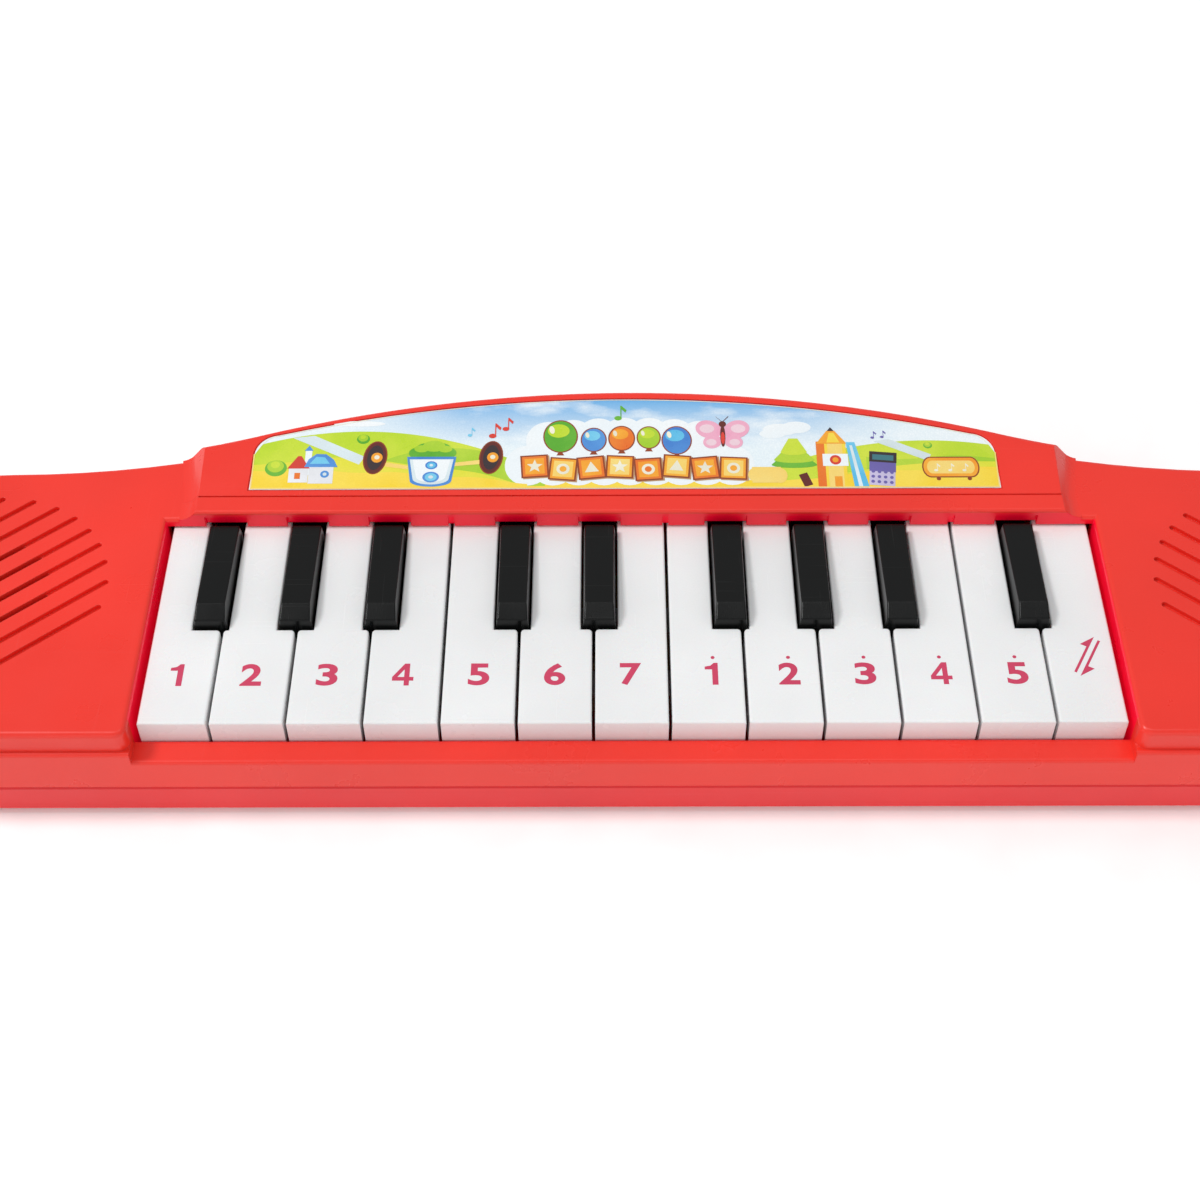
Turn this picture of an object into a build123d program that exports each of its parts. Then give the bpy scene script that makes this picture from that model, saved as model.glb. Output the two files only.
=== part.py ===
from build123d import *
import math
import os

# Toy electronic keyboard: a red moulded case with 13 white and 9 black keys between two
# speaker wings. +Z is up, +Y is the player's far side, X runs along the keys. The origin is
# on the table, under the middle of the case. All sizes are in millimetres.

# ---------------------------------------------------------------- driving dimensions
KEY_PITCH = 16.0
WHITE_COUNT = 13
BLACK_AFTER = (1, 2, 3, 5, 6, 8, 9, 10, 12)
BLACK_SHIFT = (-2.5, -0.2, 2.2, -1.5, 1.2, -2.5, -0.2, 2.2, -1.5)

CASE_DEPTH = 97.2
END_X = 141.0
END_R = 38.6
ARCH_R = 305.0
WALL = 2.0
STEP_IN = 1.0

FOOT_PROUD = 1.2
SEAM_Z = 9.0
LEDGE_Z = 17.8
APRON_Z = 20.5
KEY_TOP = 23.5
WING_TOP = 26.1
HEADER_FRONT_Z = 28.5
HEADER_TILT = 8.5
CREASE_DROP = 0.4
GROOVE_HALF = 0.35
RAMP_TOP_X = 97.0
COVE_R = 4.0
ARCH_EDGE_R = 1.2
BROW_EDGE_R = 0.8
WING_EDGE_R = 1.2
WING_CORNER_R = 2.5
BASE_EDGE_R = 0.8
SEAM_CHAMFER = 0.4
RECESS_TOP = HEADER_FRONT_Z - 1.6
RECESS_WIDE = (4.7, 1.2)
RECESS_SLIT = (0.7, 0.7)

# ---------------------------------------------------------------- places in depth (Y)
FRONT = -CASE_DEPTH / 2
KEY_FRONT = FRONT + 6.0
NOTCH_FRONT = KEY_FRONT + 25.3
BLACK_FRONT = KEY_FRONT + 25.9
BLACK_REAR = KEY_FRONT + 53.6
WELL_REAR = KEY_FRONT + 55.2
WHITE_REAR = KEY_FRONT + 57.5
CREASE_Y = KEY_FRONT + 60.3
PIVOT_Y = KEY_FRONT + 66.0
PIVOT_Z = KEY_TOP - 4.0

# ---------------------------------------------------------------- key well and keys
WELL_HALF = 103.85
LIP = 2.0
LIP_BOTTOM = 12.0
LEDGE_GAP = 0.5
WALL_FOOT_Z = KEY_TOP + 0.5
HALF_GAP = 0.35
OUTER_INSET = 1.06
SKIRT = 8.0
KEY_WALL = 1.1
KEY_SKIN = 1.5
NOTCH_HALF = 3.95
BLACK_HALF = 3.55
BLACK_TOP_HALF = 3.08
BLACK_RISE_FRONT = 3.8
BLACK_RISE_REAR = 2.5
BLACK_DEPTH = 7.0
BEVEL_RISE = 2.2
BEVEL_RUN = 3.6
DRAFT_START = 0.2
NOTCH_CORNER_R = 0.8
KEY_EDGE_R = 0.45
BLACK_EDGE_R = 0.4
PLUNGER_HALF = 1.4
ARM_HALF = 2.5
ARM_LOW = KEY_TOP - 7.0
ARM_HIGH = KEY_TOP - 1.0
HUB_R = 3.0
ROD_R = 1.5
RUNNING = 0.05
BRACKETS_X = (-WELL_HALF + 0.35, -2.5 * KEY_PITCH, 0.5 * KEY_PITCH, 4.5 * KEY_PITCH, WELL_HALF - 0.35)
BRACKET_T = 2.5

# ---------------------------------------------------------------- label
LABEL_X = -1.1
LABEL_HALF = 84.8
LABEL_FOOT = 2.1
LABEL_TOP = 27.5
LABEL_CORNER = ((84.4, 12.0), (83.0, 15.4), (79.3, 17.3))
LABEL_T = 0.25
LABEL_RECESS = 0.3

# ---------------------------------------------------------------- inside
TALL = 60.0
ROOT = 0.5
FLOOR_Z = FOOT_PROUD + WALL
BOSS_R = 3.2
BOSS_MEET = 8.0
PILOT_R = 1.25
PILOT_DEEP = 11.0
BASE_BOSS_R = 4.2
HEAD_SINK_R = 2.9
HEAD_SINK = 3.0
SHANK_HOLE_R = 1.5
POST_R = 2.6
SMALL_PILOT_R = 0.85
SMALL_SHANK_R = 0.8
SMALL_HEAD_R = 1.9
CLEAR_R = 1.1
FOOT_R = 5.0
FOOT_SEAT_R = 5.1
FOOT_SEAT_DEEP = 0.8
TONGUE_GAP = 0.1
TONGUE_T = 1.0
TONGUE_H = 1.8

BOARD_Z = 9.0
BOARD_T = 1.6
BOARD_HALF = 98.0
BOARD_Y = (KEY_FRONT + 13.0, KEY_FRONT + 52.0)
WHITE_DOME_Y = KEY_FRONT + 20.0
BLACK_DOME_Y = KEY_FRONT + 38.0
STRIP_T = 0.8
DOME_H = 2.5
PLUNGER_Z = BOARD_Z + BOARD_T + STRIP_T + DOME_H + 0.2

GRILLE_Y = KEY_FRONT + 35.0
GRILLE_R = 27.1
GRILLE_OPEN_R = 14.6
SLOT_COUNT = 9
SLOT_PITCH = 5.25
SLOT_W = 1.4
SLOT_ANGLE = 40.0
GROOVE_DEPTH = 1.0

SPEAKER_R = 18.2
SPEAKER_TOP = WING_TOP - WALL - 0.05
CLAMP_Z = 20.7
CLAMP_T = 1.2
CLAMP_SCREW_R = 23.0
CLAMP_OPEN_R = 16.4
MAGNET_R = 9.0
MAGNET_LOW = 10.8
CLAMP_ANGLES = (90, 210, 330)

BAY_X = (108.5, 164.5)
BAY_Y = (-33.0, 13.0)
BAY_MID_Y = sum(BAY_Y) / 2
BAY_CEILING = 18.4
BAY_WALL = 1.5
DOOR_T = 1.5
DOOR_GAP = 0.3
DOOR_LEDGE = 2.0
DOOR_TAB_X = BAY_X[0] - 4.0
DOOR_TAB_R = 4.0
CELL_R = 7.25
CELL_Z = FLOOR_Z + CELL_R
CELL_PITCH = 15.2
CELL_BODY = 49.2
NUB_R = 2.7
NUB_H = 1.3
PLATE_T = 0.4
PLATE_HALF = 5.0
TAG_HALF = 1.4
TAG_OUT = 3.5

SWITCH_X = -125.0
SWITCH_Y = -30.0
SWITCH_TRAVEL = 4.0
WIRE_R = 0.5
WIRE_Z = 9.8

SCREWS = [(sx * x, y) for sx in (-1, 1) for x, y in ((173.0, -10.0), (112.0, 23.0), (112.0, -42.0))]
SCREWS += [(-60.0, 35.0), (60.0, 35.0)]
FEET = [(sx * 140.0, y) for sx in (-1, 1) for y in (-41.0, 21.5)]
BOARD_SCREWS = [(x, KEY_FRONT + y) for x in (-90.0, 4.0, 90.0) for y in (29.0, 47.5)]

# ---------------------------------------------------------------- worked-out geometry
END_Y = FRONT + END_R
END_TOP = FRONT + 2 * END_R
ARCH_Y = -FRONT - ARCH_R
ARCH_TO_END = END_TOP - ARCH_Y
BLEND_R = (END_X**2 - ARCH_R**2 + ARCH_TO_END**2) / (2 * (ARCH_R - ARCH_TO_END))
BLEND_ANGLE = math.degrees(math.atan2(END_X, ARCH_TO_END + BLEND_R))
TILT_SLOPE = math.tan(math.radians(HEADER_TILT))

os.makedirs("parts", exist_ok=True)


def save(part, name):
    """Label a finished piece and write its STEP file."""
    part.label = name
    export_step(part, "parts/" + name + ".step")


def gap_x(i):
    """X of the gap after white key i, keys counted from 1 at the left."""
    return (i - WHITE_COUNT / 2) * KEY_PITCH


BLACK_X = {i: gap_x(i) + shift for i, shift in zip(BLACK_AFTER, BLACK_SHIFT)}


def white_span(i):
    """Left and right edges of white key i at its front."""
    left = gap_x(i - 1) + HALF_GAP + (OUTER_INSET if i == 1 else 0)
    right = gap_x(i) - HALF_GAP - (OUTER_INSET if i == WHITE_COUNT else 0)
    return left, right


def white_rear_span(i):
    """Left and right edges of white key i between the black keys beside it."""
    left, right = white_span(i)
    if i - 1 in BLACK_X:
        left = BLACK_X[i - 1] + NOTCH_HALF
    if i in BLACK_X:
        right = BLACK_X[i] - NOTCH_HALF
    return left, right


def panel_z(y):
    """Height of the tilted label panel at depth y."""
    return HEADER_FRONT_Z - CREASE_DROP + (y - CREASE_Y) * TILT_SLOPE


def block(x0, x1, y0, y1, z0, z1):
    """A plain rectangular solid between two corners."""
    box = Box(x1 - x0, y1 - y0, z1 - z0, mode=Mode.PRIVATE)
    return Pos((x0 + x1) / 2, (y0 + y1) / 2, (z0 + z1) / 2) * box


# ---------------------------------------------------------------- shape of the case
def outline(inset):
    """Plan outline of the case: straight front, round ends, arched rear, pulled in by inset."""
    with BuildSketch() as plan:
        with BuildLine():
            Line((-END_X, FRONT + inset), (END_X, FRONT + inset))
            CenterArc((END_X, END_Y), END_R - inset, -90, 180)
            CenterArc((END_X, END_TOP + BLEND_R), BLEND_R + inset, -90, -BLEND_ANGLE)
            CenterArc((0, ARCH_Y), ARCH_R - inset, 90 - BLEND_ANGLE, 2 * BLEND_ANGLE)
            CenterArc((-END_X, END_TOP + BLEND_R), BLEND_R + inset, -90, BLEND_ANGLE)
            CenterArc((-END_X, END_Y), END_R - inset, 90, 180)
        make_face()
    return plan.sketch


def header_section(y, top_z, inset):
    """Cross-section of the header at depth y: a flat top with ramps that run out on the wings."""
    half = RAMP_TOP_X - 0.4 * inset
    foot = WING_TOP - inset
    run = COVE_R * math.tan(math.radians(22.5))
    slant = run * math.cos(math.radians(45))
    bulge = COVE_R / math.cos(math.radians(22.5)) - COVE_R
    across = bulge * math.sin(math.radians(22.5))
    up = bulge * math.cos(math.radians(22.5))
    drop = top_z - foot
    with BuildSketch(Plane(origin=(0, y, 0), x_dir=(1, 0, 0), z_dir=(0, -1, 0))) as section:
        with BuildLine():
            Line((-half, top_z), (half, top_z))
            for side in (-1, 1):
                knee = (side * (half + drop), foot)
                start = (side * (half + drop - slant), foot + slant)
                end = (side * (half + drop + run), foot)
                Line((side * half, top_z), start)
                middle = (knee[0] + side * across, knee[1] + up)
                ThreePointArc(start, middle, end)
                Line(end, (end[0], APRON_Z))
            width = half + drop + run
            Line((-width, APRON_Z), (width, APRON_Z))
        make_face()
    return section.sketch


def header_block(inset):
    """The raised header: a level front bar, a crease, then the tilted label panel."""
    bar_front = WELL_REAR + inset
    far = -FRONT + 5.0
    bar_z = HEADER_FRONT_Z - inset
    bar = [header_section(y, bar_z, inset) for y in (bar_front, CREASE_Y)]
    panel = [header_section(y, panel_z(y) - inset, inset) for y in (CREASE_Y, far)]
    with BuildPart() as header:
        loft(bar, ruled=True)
        loft(panel, ruled=True)
        with BuildSketch(Plane.XY.offset(APRON_Z - 5)):
            add(outline(STEP_IN + inset))
        extrude(amount=40, mode=Mode.INTERSECT)
        if not inset:
            fillet(header.edges().filter_by(GeomType.ELLIPSE), ARCH_EDGE_R)
            brow = header.edges().filter_by(Axis.X).group_by(Axis.Y)[0]
            fillet(brow.sort_by(Axis.Z)[-1], BROW_EDGE_R)
    return header.part


def case_outside():
    """Outside of the upper case: apron, wings with their rounded edge, and header."""
    with BuildPart() as apron:
        with BuildSketch(Plane.XY.offset(SEAM_Z)):
            add(outline(0))
        extrude(amount=APRON_Z - SEAM_Z)
        chamfer(apron.faces().sort_by(Axis.Z)[0].edges(), SEAM_CHAMFER)
        add(block(-WELL_HALF, WELL_HALF, FRONT - 5, WELL_REAR, LEDGE_Z, APRON_Z + 1), mode=Mode.SUBTRACT)
        rim = apron.edges().filter_by_position(Axis.Z, LEDGE_Z - 0.1, APRON_Z + 0.1)
        rim = rim.filter_by_position(Axis.Y, FRONT - 1, FRONT + 0.01)
        fillet(rim.filter_by(Axis.X), BROW_EDGE_R)
    with BuildPart() as wings:
        with BuildSketch(Plane.XY.offset(APRON_Z - 1)):
            add(outline(STEP_IN))
        extrude(amount=WING_TOP - APRON_Z + 1)
        add(block(-WELL_HALF, WELL_HALF, FRONT - 5, WELL_REAR, 0, TALL), mode=Mode.SUBTRACT)
        corners = wings.edges().filter_by(Axis.Z).filter_by_position(Axis.Y, FRONT, FRONT + 2)
        fillet(corners.filter_by_position(Axis.X, -WELL_HALF - 1, WELL_HALF + 1), WING_CORNER_R)
        top = wings.faces().sort_by(Axis.Z)[-1]
        fillet(top.edges(), WING_EDGE_R)
    with BuildPart() as outside:
        add(apron.part)
        add(wings.part)
        add(header_block(0))
        # groove along the crease, between the level bar and the label panel
        groove = (-RAMP_TOP_X, RAMP_TOP_X, CREASE_Y - GROOVE_HALF, CREASE_Y + GROOVE_HALF)
        add(block(*groove, panel_z(CREASE_Y) - GROOVE_HALF, TALL), mode=Mode.SUBTRACT)
    return outside.part


def case_cavity():
    """Hollow of the upper case, which leaves the ledge and the walls of the key well standing."""
    wide = WELL_HALF + LIP
    lip_front = KEY_FRONT - LEDGE_GAP - LIP
    with BuildPart() as cavity:
        with BuildSketch(Plane.XY.offset(SEAM_Z - 1)):
            add(outline(WALL))
        extrude(amount=APRON_Z - WALL - SEAM_Z + 1)
        with BuildSketch(Plane.XY.offset(SEAM_Z)):
            add(outline(STEP_IN + WALL))
        extrude(amount=WING_TOP - WALL - SEAM_Z)
        add(header_block(WALL))
        add(block(-wide, wide, FRONT, WELL_REAR + LIP, LEDGE_Z - WALL, TALL), mode=Mode.SUBTRACT)
        add(block(-wide, wide, lip_front, WELL_REAR + LIP, LIP_BOTTOM, TALL), mode=Mode.SUBTRACT)
    return cavity.part


def slot_chord(offset, radius):
    """Length of a grille slot that lies offset from the middle of a circle of that radius."""
    return 2 * math.sqrt(radius**2 - offset**2)


def grille(side, radius):
    """Slots of one grille, cut to a circle, rising towards the keys on both wings."""
    middle = Location((side * END_X, GRILLE_Y, 0), (0, 0, -side * SLOT_ANGLE))
    with BuildSketch(Plane(middle)) as slots:
        for k in range(SLOT_COUNT):
            offset = (k - (SLOT_COUNT - 1) / 2) * SLOT_PITCH
            if abs(offset) < radius - SLOT_W:
                with Locations((0, offset)):
                    SlotOverall(slot_chord(offset, radius), SLOT_W)
    return slots.sketch


def label_outline(margin):
    """Outline of the header label on its panel: square corners in front, arched at the back."""
    with BuildSketch() as face:
        with BuildLine():
            Line((-LABEL_HALF, LABEL_FOOT), (LABEL_HALF, LABEL_FOOT))
            for side in (-1, 1):
                corner = [(side * x, v) for x, v in LABEL_CORNER]
                Line((side * LABEL_HALF, LABEL_FOOT), corner[0])
                ThreePointArc(*corner)
            ThreePointArc((-corner[-1][0], corner[-1][1]), (0, LABEL_TOP), corner[-1])
        make_face()
        if margin:
            offset(amount=margin, kind=Kind.INTERSECTION)
    return face.sketch


PANEL = Plane(
    origin=(LABEL_X, CREASE_Y, panel_z(CREASE_Y)),
    x_dir=(1, 0, 0),
    z_dir=(0, -math.sin(math.radians(HEADER_TILT)), math.cos(math.radians(HEADER_TILT))),
)

# ================================================================ upper case
shell = case_outside()
hollow = case_cavity()
grille_grooves = [grille(side, GRILLE_R) for side in (-1, 1)]
grille_openings = [grille(side, GRILLE_OPEN_R) for side in (-1, 1)]
label_recess = label_outline(LABEL_RECESS)

with BuildPart() as top_case:
    add(shell)
    add(hollow, mode=Mode.SUBTRACT)
    # the key well, and the passage under its rear wall for the tails of the keys
    well_front = KEY_FRONT - LEDGE_GAP
    add(block(-WELL_HALF, WELL_HALF, well_front, WELL_REAR, 0, TALL), mode=Mode.SUBTRACT)
    add(block(-WELL_HALF, WELL_HALF, WELL_REAR, WELL_REAR + LIP, 0, WALL_FOOT_Z), mode=Mode.SUBTRACT)
    # clearance recesses in the rear wall: wide over each black key, a slit over each plain gap
    for i in range(1, WHITE_COUNT):
        x = BLACK_X.get(i, gap_x(i))
        half, deep = RECESS_WIDE if i in BLACK_X else RECESS_SLIT
        recess = block(x - half, x + half, WELL_REAR - 1, WELL_REAR + deep, 0, RECESS_TOP)
        add(recess, mode=Mode.SUBTRACT)
    # speaker grilles: shallow grooves that open right through in the middle
    for sketch in grille_grooves:
        with BuildSketch(Plane.XY.offset(WING_TOP)):
            add(sketch)
        extrude(amount=-GROOVE_DEPTH, mode=Mode.SUBTRACT)
    for sketch in grille_openings:
        with BuildSketch(Plane.XY.offset(WING_TOP)):
            add(sketch)
        extrude(amount=-WALL - 1, mode=Mode.SUBTRACT)
    # recess for the label
    with BuildSketch(PANEL):
        add(label_recess)
    extrude(amount=-LABEL_RECESS, mode=Mode.SUBTRACT)
    # screw bosses
    for x, y in SCREWS:
        ceiling = WING_TOP if abs(x) > WELL_HALF else panel_z(y)
        with BuildSketch(Plane.XY.offset(BOSS_MEET)):
            with Locations((x, y)):
                Circle(BOSS_R)
        extrude(amount=ceiling - WALL + ROOT - BOSS_MEET)
        with BuildSketch(Plane.XY.offset(BOSS_MEET)):
            with Locations((x, y)):
                Circle(PILOT_R)
        extrude(amount=PILOT_DEEP, mode=Mode.SUBTRACT)
    # speaker ring and the three bosses of its clamp
    with BuildSketch(Plane.XY.offset(CLAMP_Z + CLAMP_T)):
        with Locations((-END_X, GRILLE_Y)):
            Circle(SPEAKER_R + 1.7)
            with PolarLocations(CLAMP_SCREW_R, 3, start_angle=CLAMP_ANGLES[0]):
                Circle(POST_R)
            Circle(SPEAKER_R + 0.2, mode=Mode.SUBTRACT)
    extrude(amount=WING_TOP - WALL - CLAMP_Z - CLAMP_T + 0.3)
    with BuildSketch(Plane.XY.offset(CLAMP_Z + CLAMP_T)):
        with Locations((-END_X, GRILLE_Y)):
            with PolarLocations(CLAMP_SCREW_R, 3, start_angle=CLAMP_ANGLES[0]):
                Circle(SMALL_PILOT_R)
    extrude(amount=2.0, mode=Mode.SUBTRACT)
    # pads that hold the pivot rod down in its brackets
    for x in BRACKETS_X:
        pad_top = WING_TOP - 1 if abs(x) > 100 else panel_z(PIVOT_Y) - 1.5
        pad = (x - BRACKET_T / 2, x + BRACKET_T / 2, PIVOT_Y - 1.2, PIVOT_Y + 1.2)
        add(block(*pad, PIVOT_Z + ROD_R + 0.1, pad_top))
save(top_case.part, "top_case")

# ================================================================ lower case
with BuildPart() as bottom_case:
    with BuildSketch(Plane.XY.offset(FOOT_PROUD)):
        add(outline(0))
    extrude(amount=SEAM_Z - FOOT_PROUD)
    fillet(bottom_case.faces().sort_by(Axis.Z)[0].edges(), BASE_EDGE_R)
    chamfer(bottom_case.faces().sort_by(Axis.Z)[-1].edges(), SEAM_CHAMFER)
    with BuildSketch(Plane.XY.offset(FLOOR_Z)):
        add(outline(WALL))
    extrude(amount=SEAM_Z - TONGUE_H - FLOOR_Z, mode=Mode.SUBTRACT)
    with BuildSketch(Plane.XY.offset(SEAM_Z - TONGUE_H)):
        add(outline(WALL + TONGUE_GAP + TONGUE_T))
    extrude(amount=TONGUE_H + 1, mode=Mode.SUBTRACT)
    # tongue that locates the upper case
    with BuildSketch(Plane.XY.offset(SEAM_Z - 0.5)):
        add(outline(WALL + TONGUE_GAP))
        add(outline(WALL + TONGUE_GAP + TONGUE_T), mode=Mode.SUBTRACT)
    extrude(amount=TONGUE_H + 0.5)
    # screw bosses with their head recesses
    for x, y in SCREWS:
        with BuildSketch(Plane.XY.offset(FLOOR_Z - ROOT)):
            with Locations((x, y)):
                Circle(BASE_BOSS_R)
        extrude(amount=BOSS_MEET - FLOOR_Z + ROOT - 0.05)
    for x, y in SCREWS:
        for radius, height in ((HEAD_SINK_R, FOOT_PROUD + HEAD_SINK), (SHANK_HOLE_R, BOSS_MEET)):
            with BuildSketch():
                with Locations((x, y)):
                    Circle(radius)
            extrude(amount=height, mode=Mode.SUBTRACT)
    # posts for the circuit board
    with BuildSketch(Plane.XY.offset(FLOOR_Z - ROOT)):
        with Locations(*BOARD_SCREWS):
            Circle(POST_R)
    extrude(amount=BOARD_Z - FLOOR_Z + ROOT)
    with BuildSketch(Plane.XY.offset(FLOOR_Z + ROOT)):
        with Locations(*BOARD_SCREWS):
            Circle(SMALL_PILOT_R)
    extrude(amount=BOARD_Z, mode=Mode.SUBTRACT)
    # brackets that cradle the pivot rod, open at the top
    for x in BRACKETS_X:
        rib = (x - BRACKET_T / 2, x + BRACKET_T / 2)
        cradle = ROD_R + RUNNING
        add(block(*rib, PIVOT_Y - 4.5, PIVOT_Y + 4.5, FLOOR_Z - ROOT, PIVOT_Z + 1.3))
        add(block(*rib, PIVOT_Y - cradle, PIVOT_Y + cradle, PIVOT_Z, PIVOT_Z + 5), mode=Mode.SUBTRACT)
    with BuildSketch(Plane.YZ.offset(-WELL_HALF - 5)):
        with Locations((PIVOT_Y, PIVOT_Z)):
            Circle(ROD_R + RUNNING)
    extrude(amount=2 * (WELL_HALF + 5), mode=Mode.SUBTRACT)
    # battery bay
    x0, x1, y0, y1 = *BAY_X, *BAY_Y
    w = BAY_WALL
    add(block(x0 - w, x1 + w, y0 - w, y1 + w, FLOOR_Z - ROOT, BAY_CEILING + w))
    add(block(x0, x1, y0, y1, 0, BAY_CEILING), mode=Mode.SUBTRACT)
    seat = (x0 - DOOR_LEDGE, x1 + DOOR_LEDGE, y0, y1)
    add(block(*seat, 0, FOOT_PROUD + DOOR_T), mode=Mode.SUBTRACT)
    for y in (BAY_MID_Y - CELL_PITCH, y1 - 0.325):
        slit = (x0 - w - 1, x0 + 1, y - 0.3, y + 0.3, CELL_Z - TAG_HALF - 0.3, CELL_Z + TAG_HALF + 0.3)
        add(block(*slit), mode=Mode.SUBTRACT)
    # boss and seat for the screwed tab of the battery door
    with BuildSketch(Plane.XY.offset(FLOOR_Z - ROOT)):
        with Locations((DOOR_TAB_X, BAY_MID_Y)):
            Circle(DOOR_TAB_R)
    extrude(amount=7)
    for radius, height in ((DOOR_TAB_R + DOOR_GAP, FOOT_PROUD + DOOR_T), (1.0, 8.5)):
        with BuildSketch():
            with Locations((DOOR_TAB_X, BAY_MID_Y)):
                Circle(radius)
        extrude(amount=height, mode=Mode.SUBTRACT)
    # slot for the power switch, and seats for the rubber feet
    slot = (SWITCH_X - 4.3, SWITCH_X + 4.3, SWITCH_Y - 1.9, SWITCH_Y + 1.9)
    add(block(*slot, 0, FLOOR_Z + 1), mode=Mode.SUBTRACT)
    with BuildSketch():
        with Locations(*FEET):
            Circle(FOOT_SEAT_R)
    extrude(amount=FOOT_PROUD + FOOT_SEAT_DEEP, mode=Mode.SUBTRACT)
save(bottom_case.part, "bottom_case")

# ================================================================ label
label_face = label_outline(0)
with BuildPart() as header_label:
    with BuildSketch(PANEL.offset(-LABEL_RECESS)):
        add(label_face)
    extrude(amount=LABEL_T)
save(header_label.part, "header_label")


# ================================================================ keys
def hub(x0, x1):
    """Solid bearing eye of a key tail on the pivot axis, between two X values."""
    turn = Cylinder(HUB_R, x1 - x0, rotation=(0, 90, 0), mode=Mode.PRIVATE)
    return Pos((x0 + x1) / 2, PIVOT_Y, PIVOT_Z) * turn


def bore(x0, x1):
    """Running bore for the pivot rod through a bearing eye."""
    turn = Cylinder(ROD_R + RUNNING, x1 - x0, rotation=(0, 90, 0), mode=Mode.PRIVATE)
    return Pos((x0 + x1) / 2, PIVOT_Y, PIVOT_Z) * turn


def plunger(x, y, top):
    """Post under a key that presses its contact dome."""
    return block(x - PLUNGER_HALF, x + PLUNGER_HALF, y - PLUNGER_HALF, y + PLUNGER_HALF, PLUNGER_Z, top)


def white_plan(i, inset):
    """Plan of white key i, with notches for the black keys beside it, pulled in by inset."""
    left, right = white_span(i)
    rear_left, rear_right = white_rear_span(i)
    notch = NOTCH_FRONT
    points = [(left, KEY_FRONT), (right, KEY_FRONT), (right, notch), (rear_right, notch)]
    points += [(rear_right, WHITE_REAR), (rear_left, WHITE_REAR), (rear_left, notch), (left, notch)]
    points = [p for n, p in enumerate(points) if p != points[n - 1]]
    with BuildSketch() as plan:
        Polygon(*points, align=None)
        corners = plan.vertices().filter_by_position(Axis.Y, NOTCH_FRONT - 1, NOTCH_FRONT + 1)
        if not inset:
            fillet([v for v in corners if v.X < left + 0.01 or v.X > right - 0.01], NOTCH_CORNER_R)
        else:
            offset(amount=-inset, kind=Kind.INTERSECTION)
    return plan.sketch


def build_white_key(i):
    """White key i: hollow moulded cap, plunger over its dome, and a tail with a bearing eye."""
    left, right = white_span(i)
    rear_left, rear_right = white_rear_span(i)
    middle = (left + right) / 2
    tail = (rear_left + rear_right) / 2
    arm = (tail - ARM_HALF, tail + ARM_HALF)
    cap_plan = white_plan(i, 0)
    inner_plan = white_plan(i, KEY_WALL)
    with BuildPart() as key:
        with BuildSketch(Plane.XY.offset(KEY_TOP - SKIRT)):
            add(cap_plan)
        extrude(amount=SKIRT)
        fillet(key.faces().sort_by(Axis.Z)[-1].edges(), KEY_EDGE_R)
        with BuildSketch(Plane.XY.offset(KEY_TOP - SKIRT)):
            add(inner_plan)
        extrude(amount=SKIRT - KEY_SKIN, mode=Mode.SUBTRACT)
        add(plunger(middle, WHITE_DOME_Y, KEY_TOP - KEY_SKIN + ROOT))
        add(block(*arm, WHITE_REAR - ROOT, PIVOT_Y, ARM_LOW, ARM_HIGH))
        add(hub(*arm))
        add(bore(arm[0] - 1, arm[1] + 1), mode=Mode.SUBTRACT)
    return key.part


def build_black_key(i):
    """Black key after white key i: drafted cap with a bevelled front, and a tail like the others."""
    x = BLACK_X[i]
    low = KEY_TOP - BLACK_DEPTH
    side_view = [(BLACK_FRONT, low), (BLACK_FRONT, KEY_TOP + BEVEL_RISE)]
    side_view += [(BLACK_FRONT + BEVEL_RUN, KEY_TOP + BLACK_RISE_FRONT)]
    side_view += [(BLACK_REAR, KEY_TOP + BLACK_RISE_REAR)]
    side_view += [(BLACK_REAR, low)]
    top = KEY_TOP + BLACK_RISE_FRONT + DRAFT_START
    waist = KEY_TOP + DRAFT_START
    half_view = [(x - BLACK_HALF, low), (x + BLACK_HALF, low), (x + BLACK_HALF, waist)]
    half_view += [(x + BLACK_TOP_HALF, top), (x - BLACK_TOP_HALF, top), (x - BLACK_HALF, waist)]
    arm = (x - ARM_HALF, x + ARM_HALF)
    room = (x - BLACK_TOP_HALF + KEY_WALL, x + BLACK_TOP_HALF - KEY_WALL)
    with BuildPart() as key:
        with BuildSketch(Plane.YZ.offset(x - BLACK_HALF - 1)):
            Polygon(*side_view, align=None)
        extrude(amount=2 * BLACK_HALF + 2)
        with BuildSketch(Plane(origin=(0, BLACK_REAR + 1, 0), x_dir=(1, 0, 0), z_dir=(0, -1, 0))):
            Polygon(*half_view, align=None)
        extrude(amount=BLACK_REAR - BLACK_FRONT + 2, mode=Mode.INTERSECT)
        fillet(key.edges().filter_by(lambda e: e.center().Z > waist + ROOT), BLACK_EDGE_R)
        hollow_top = KEY_TOP + BLACK_RISE_REAR - KEY_SKIN
        front, rear = BLACK_FRONT + KEY_WALL, BLACK_REAR - KEY_WALL
        add(block(*room, front, rear, low, hollow_top), mode=Mode.SUBTRACT)
        add(plunger(x, BLACK_DOME_Y, hollow_top + ROOT))
        add(block(*arm, BLACK_REAR - ROOT, PIVOT_Y, ARM_LOW, ARM_HIGH))
        add(hub(*arm))
        add(bore(arm[0] - 1, arm[1] + 1), mode=Mode.SUBTRACT)
    return key.part


for number in range(1, WHITE_COUNT + 1):
    save(build_white_key(number), "white_key_%02d" % number)
for number, after in enumerate(BLACK_AFTER, start=1):
    save(build_black_key(after), "black_key_%02d" % number)

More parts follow.
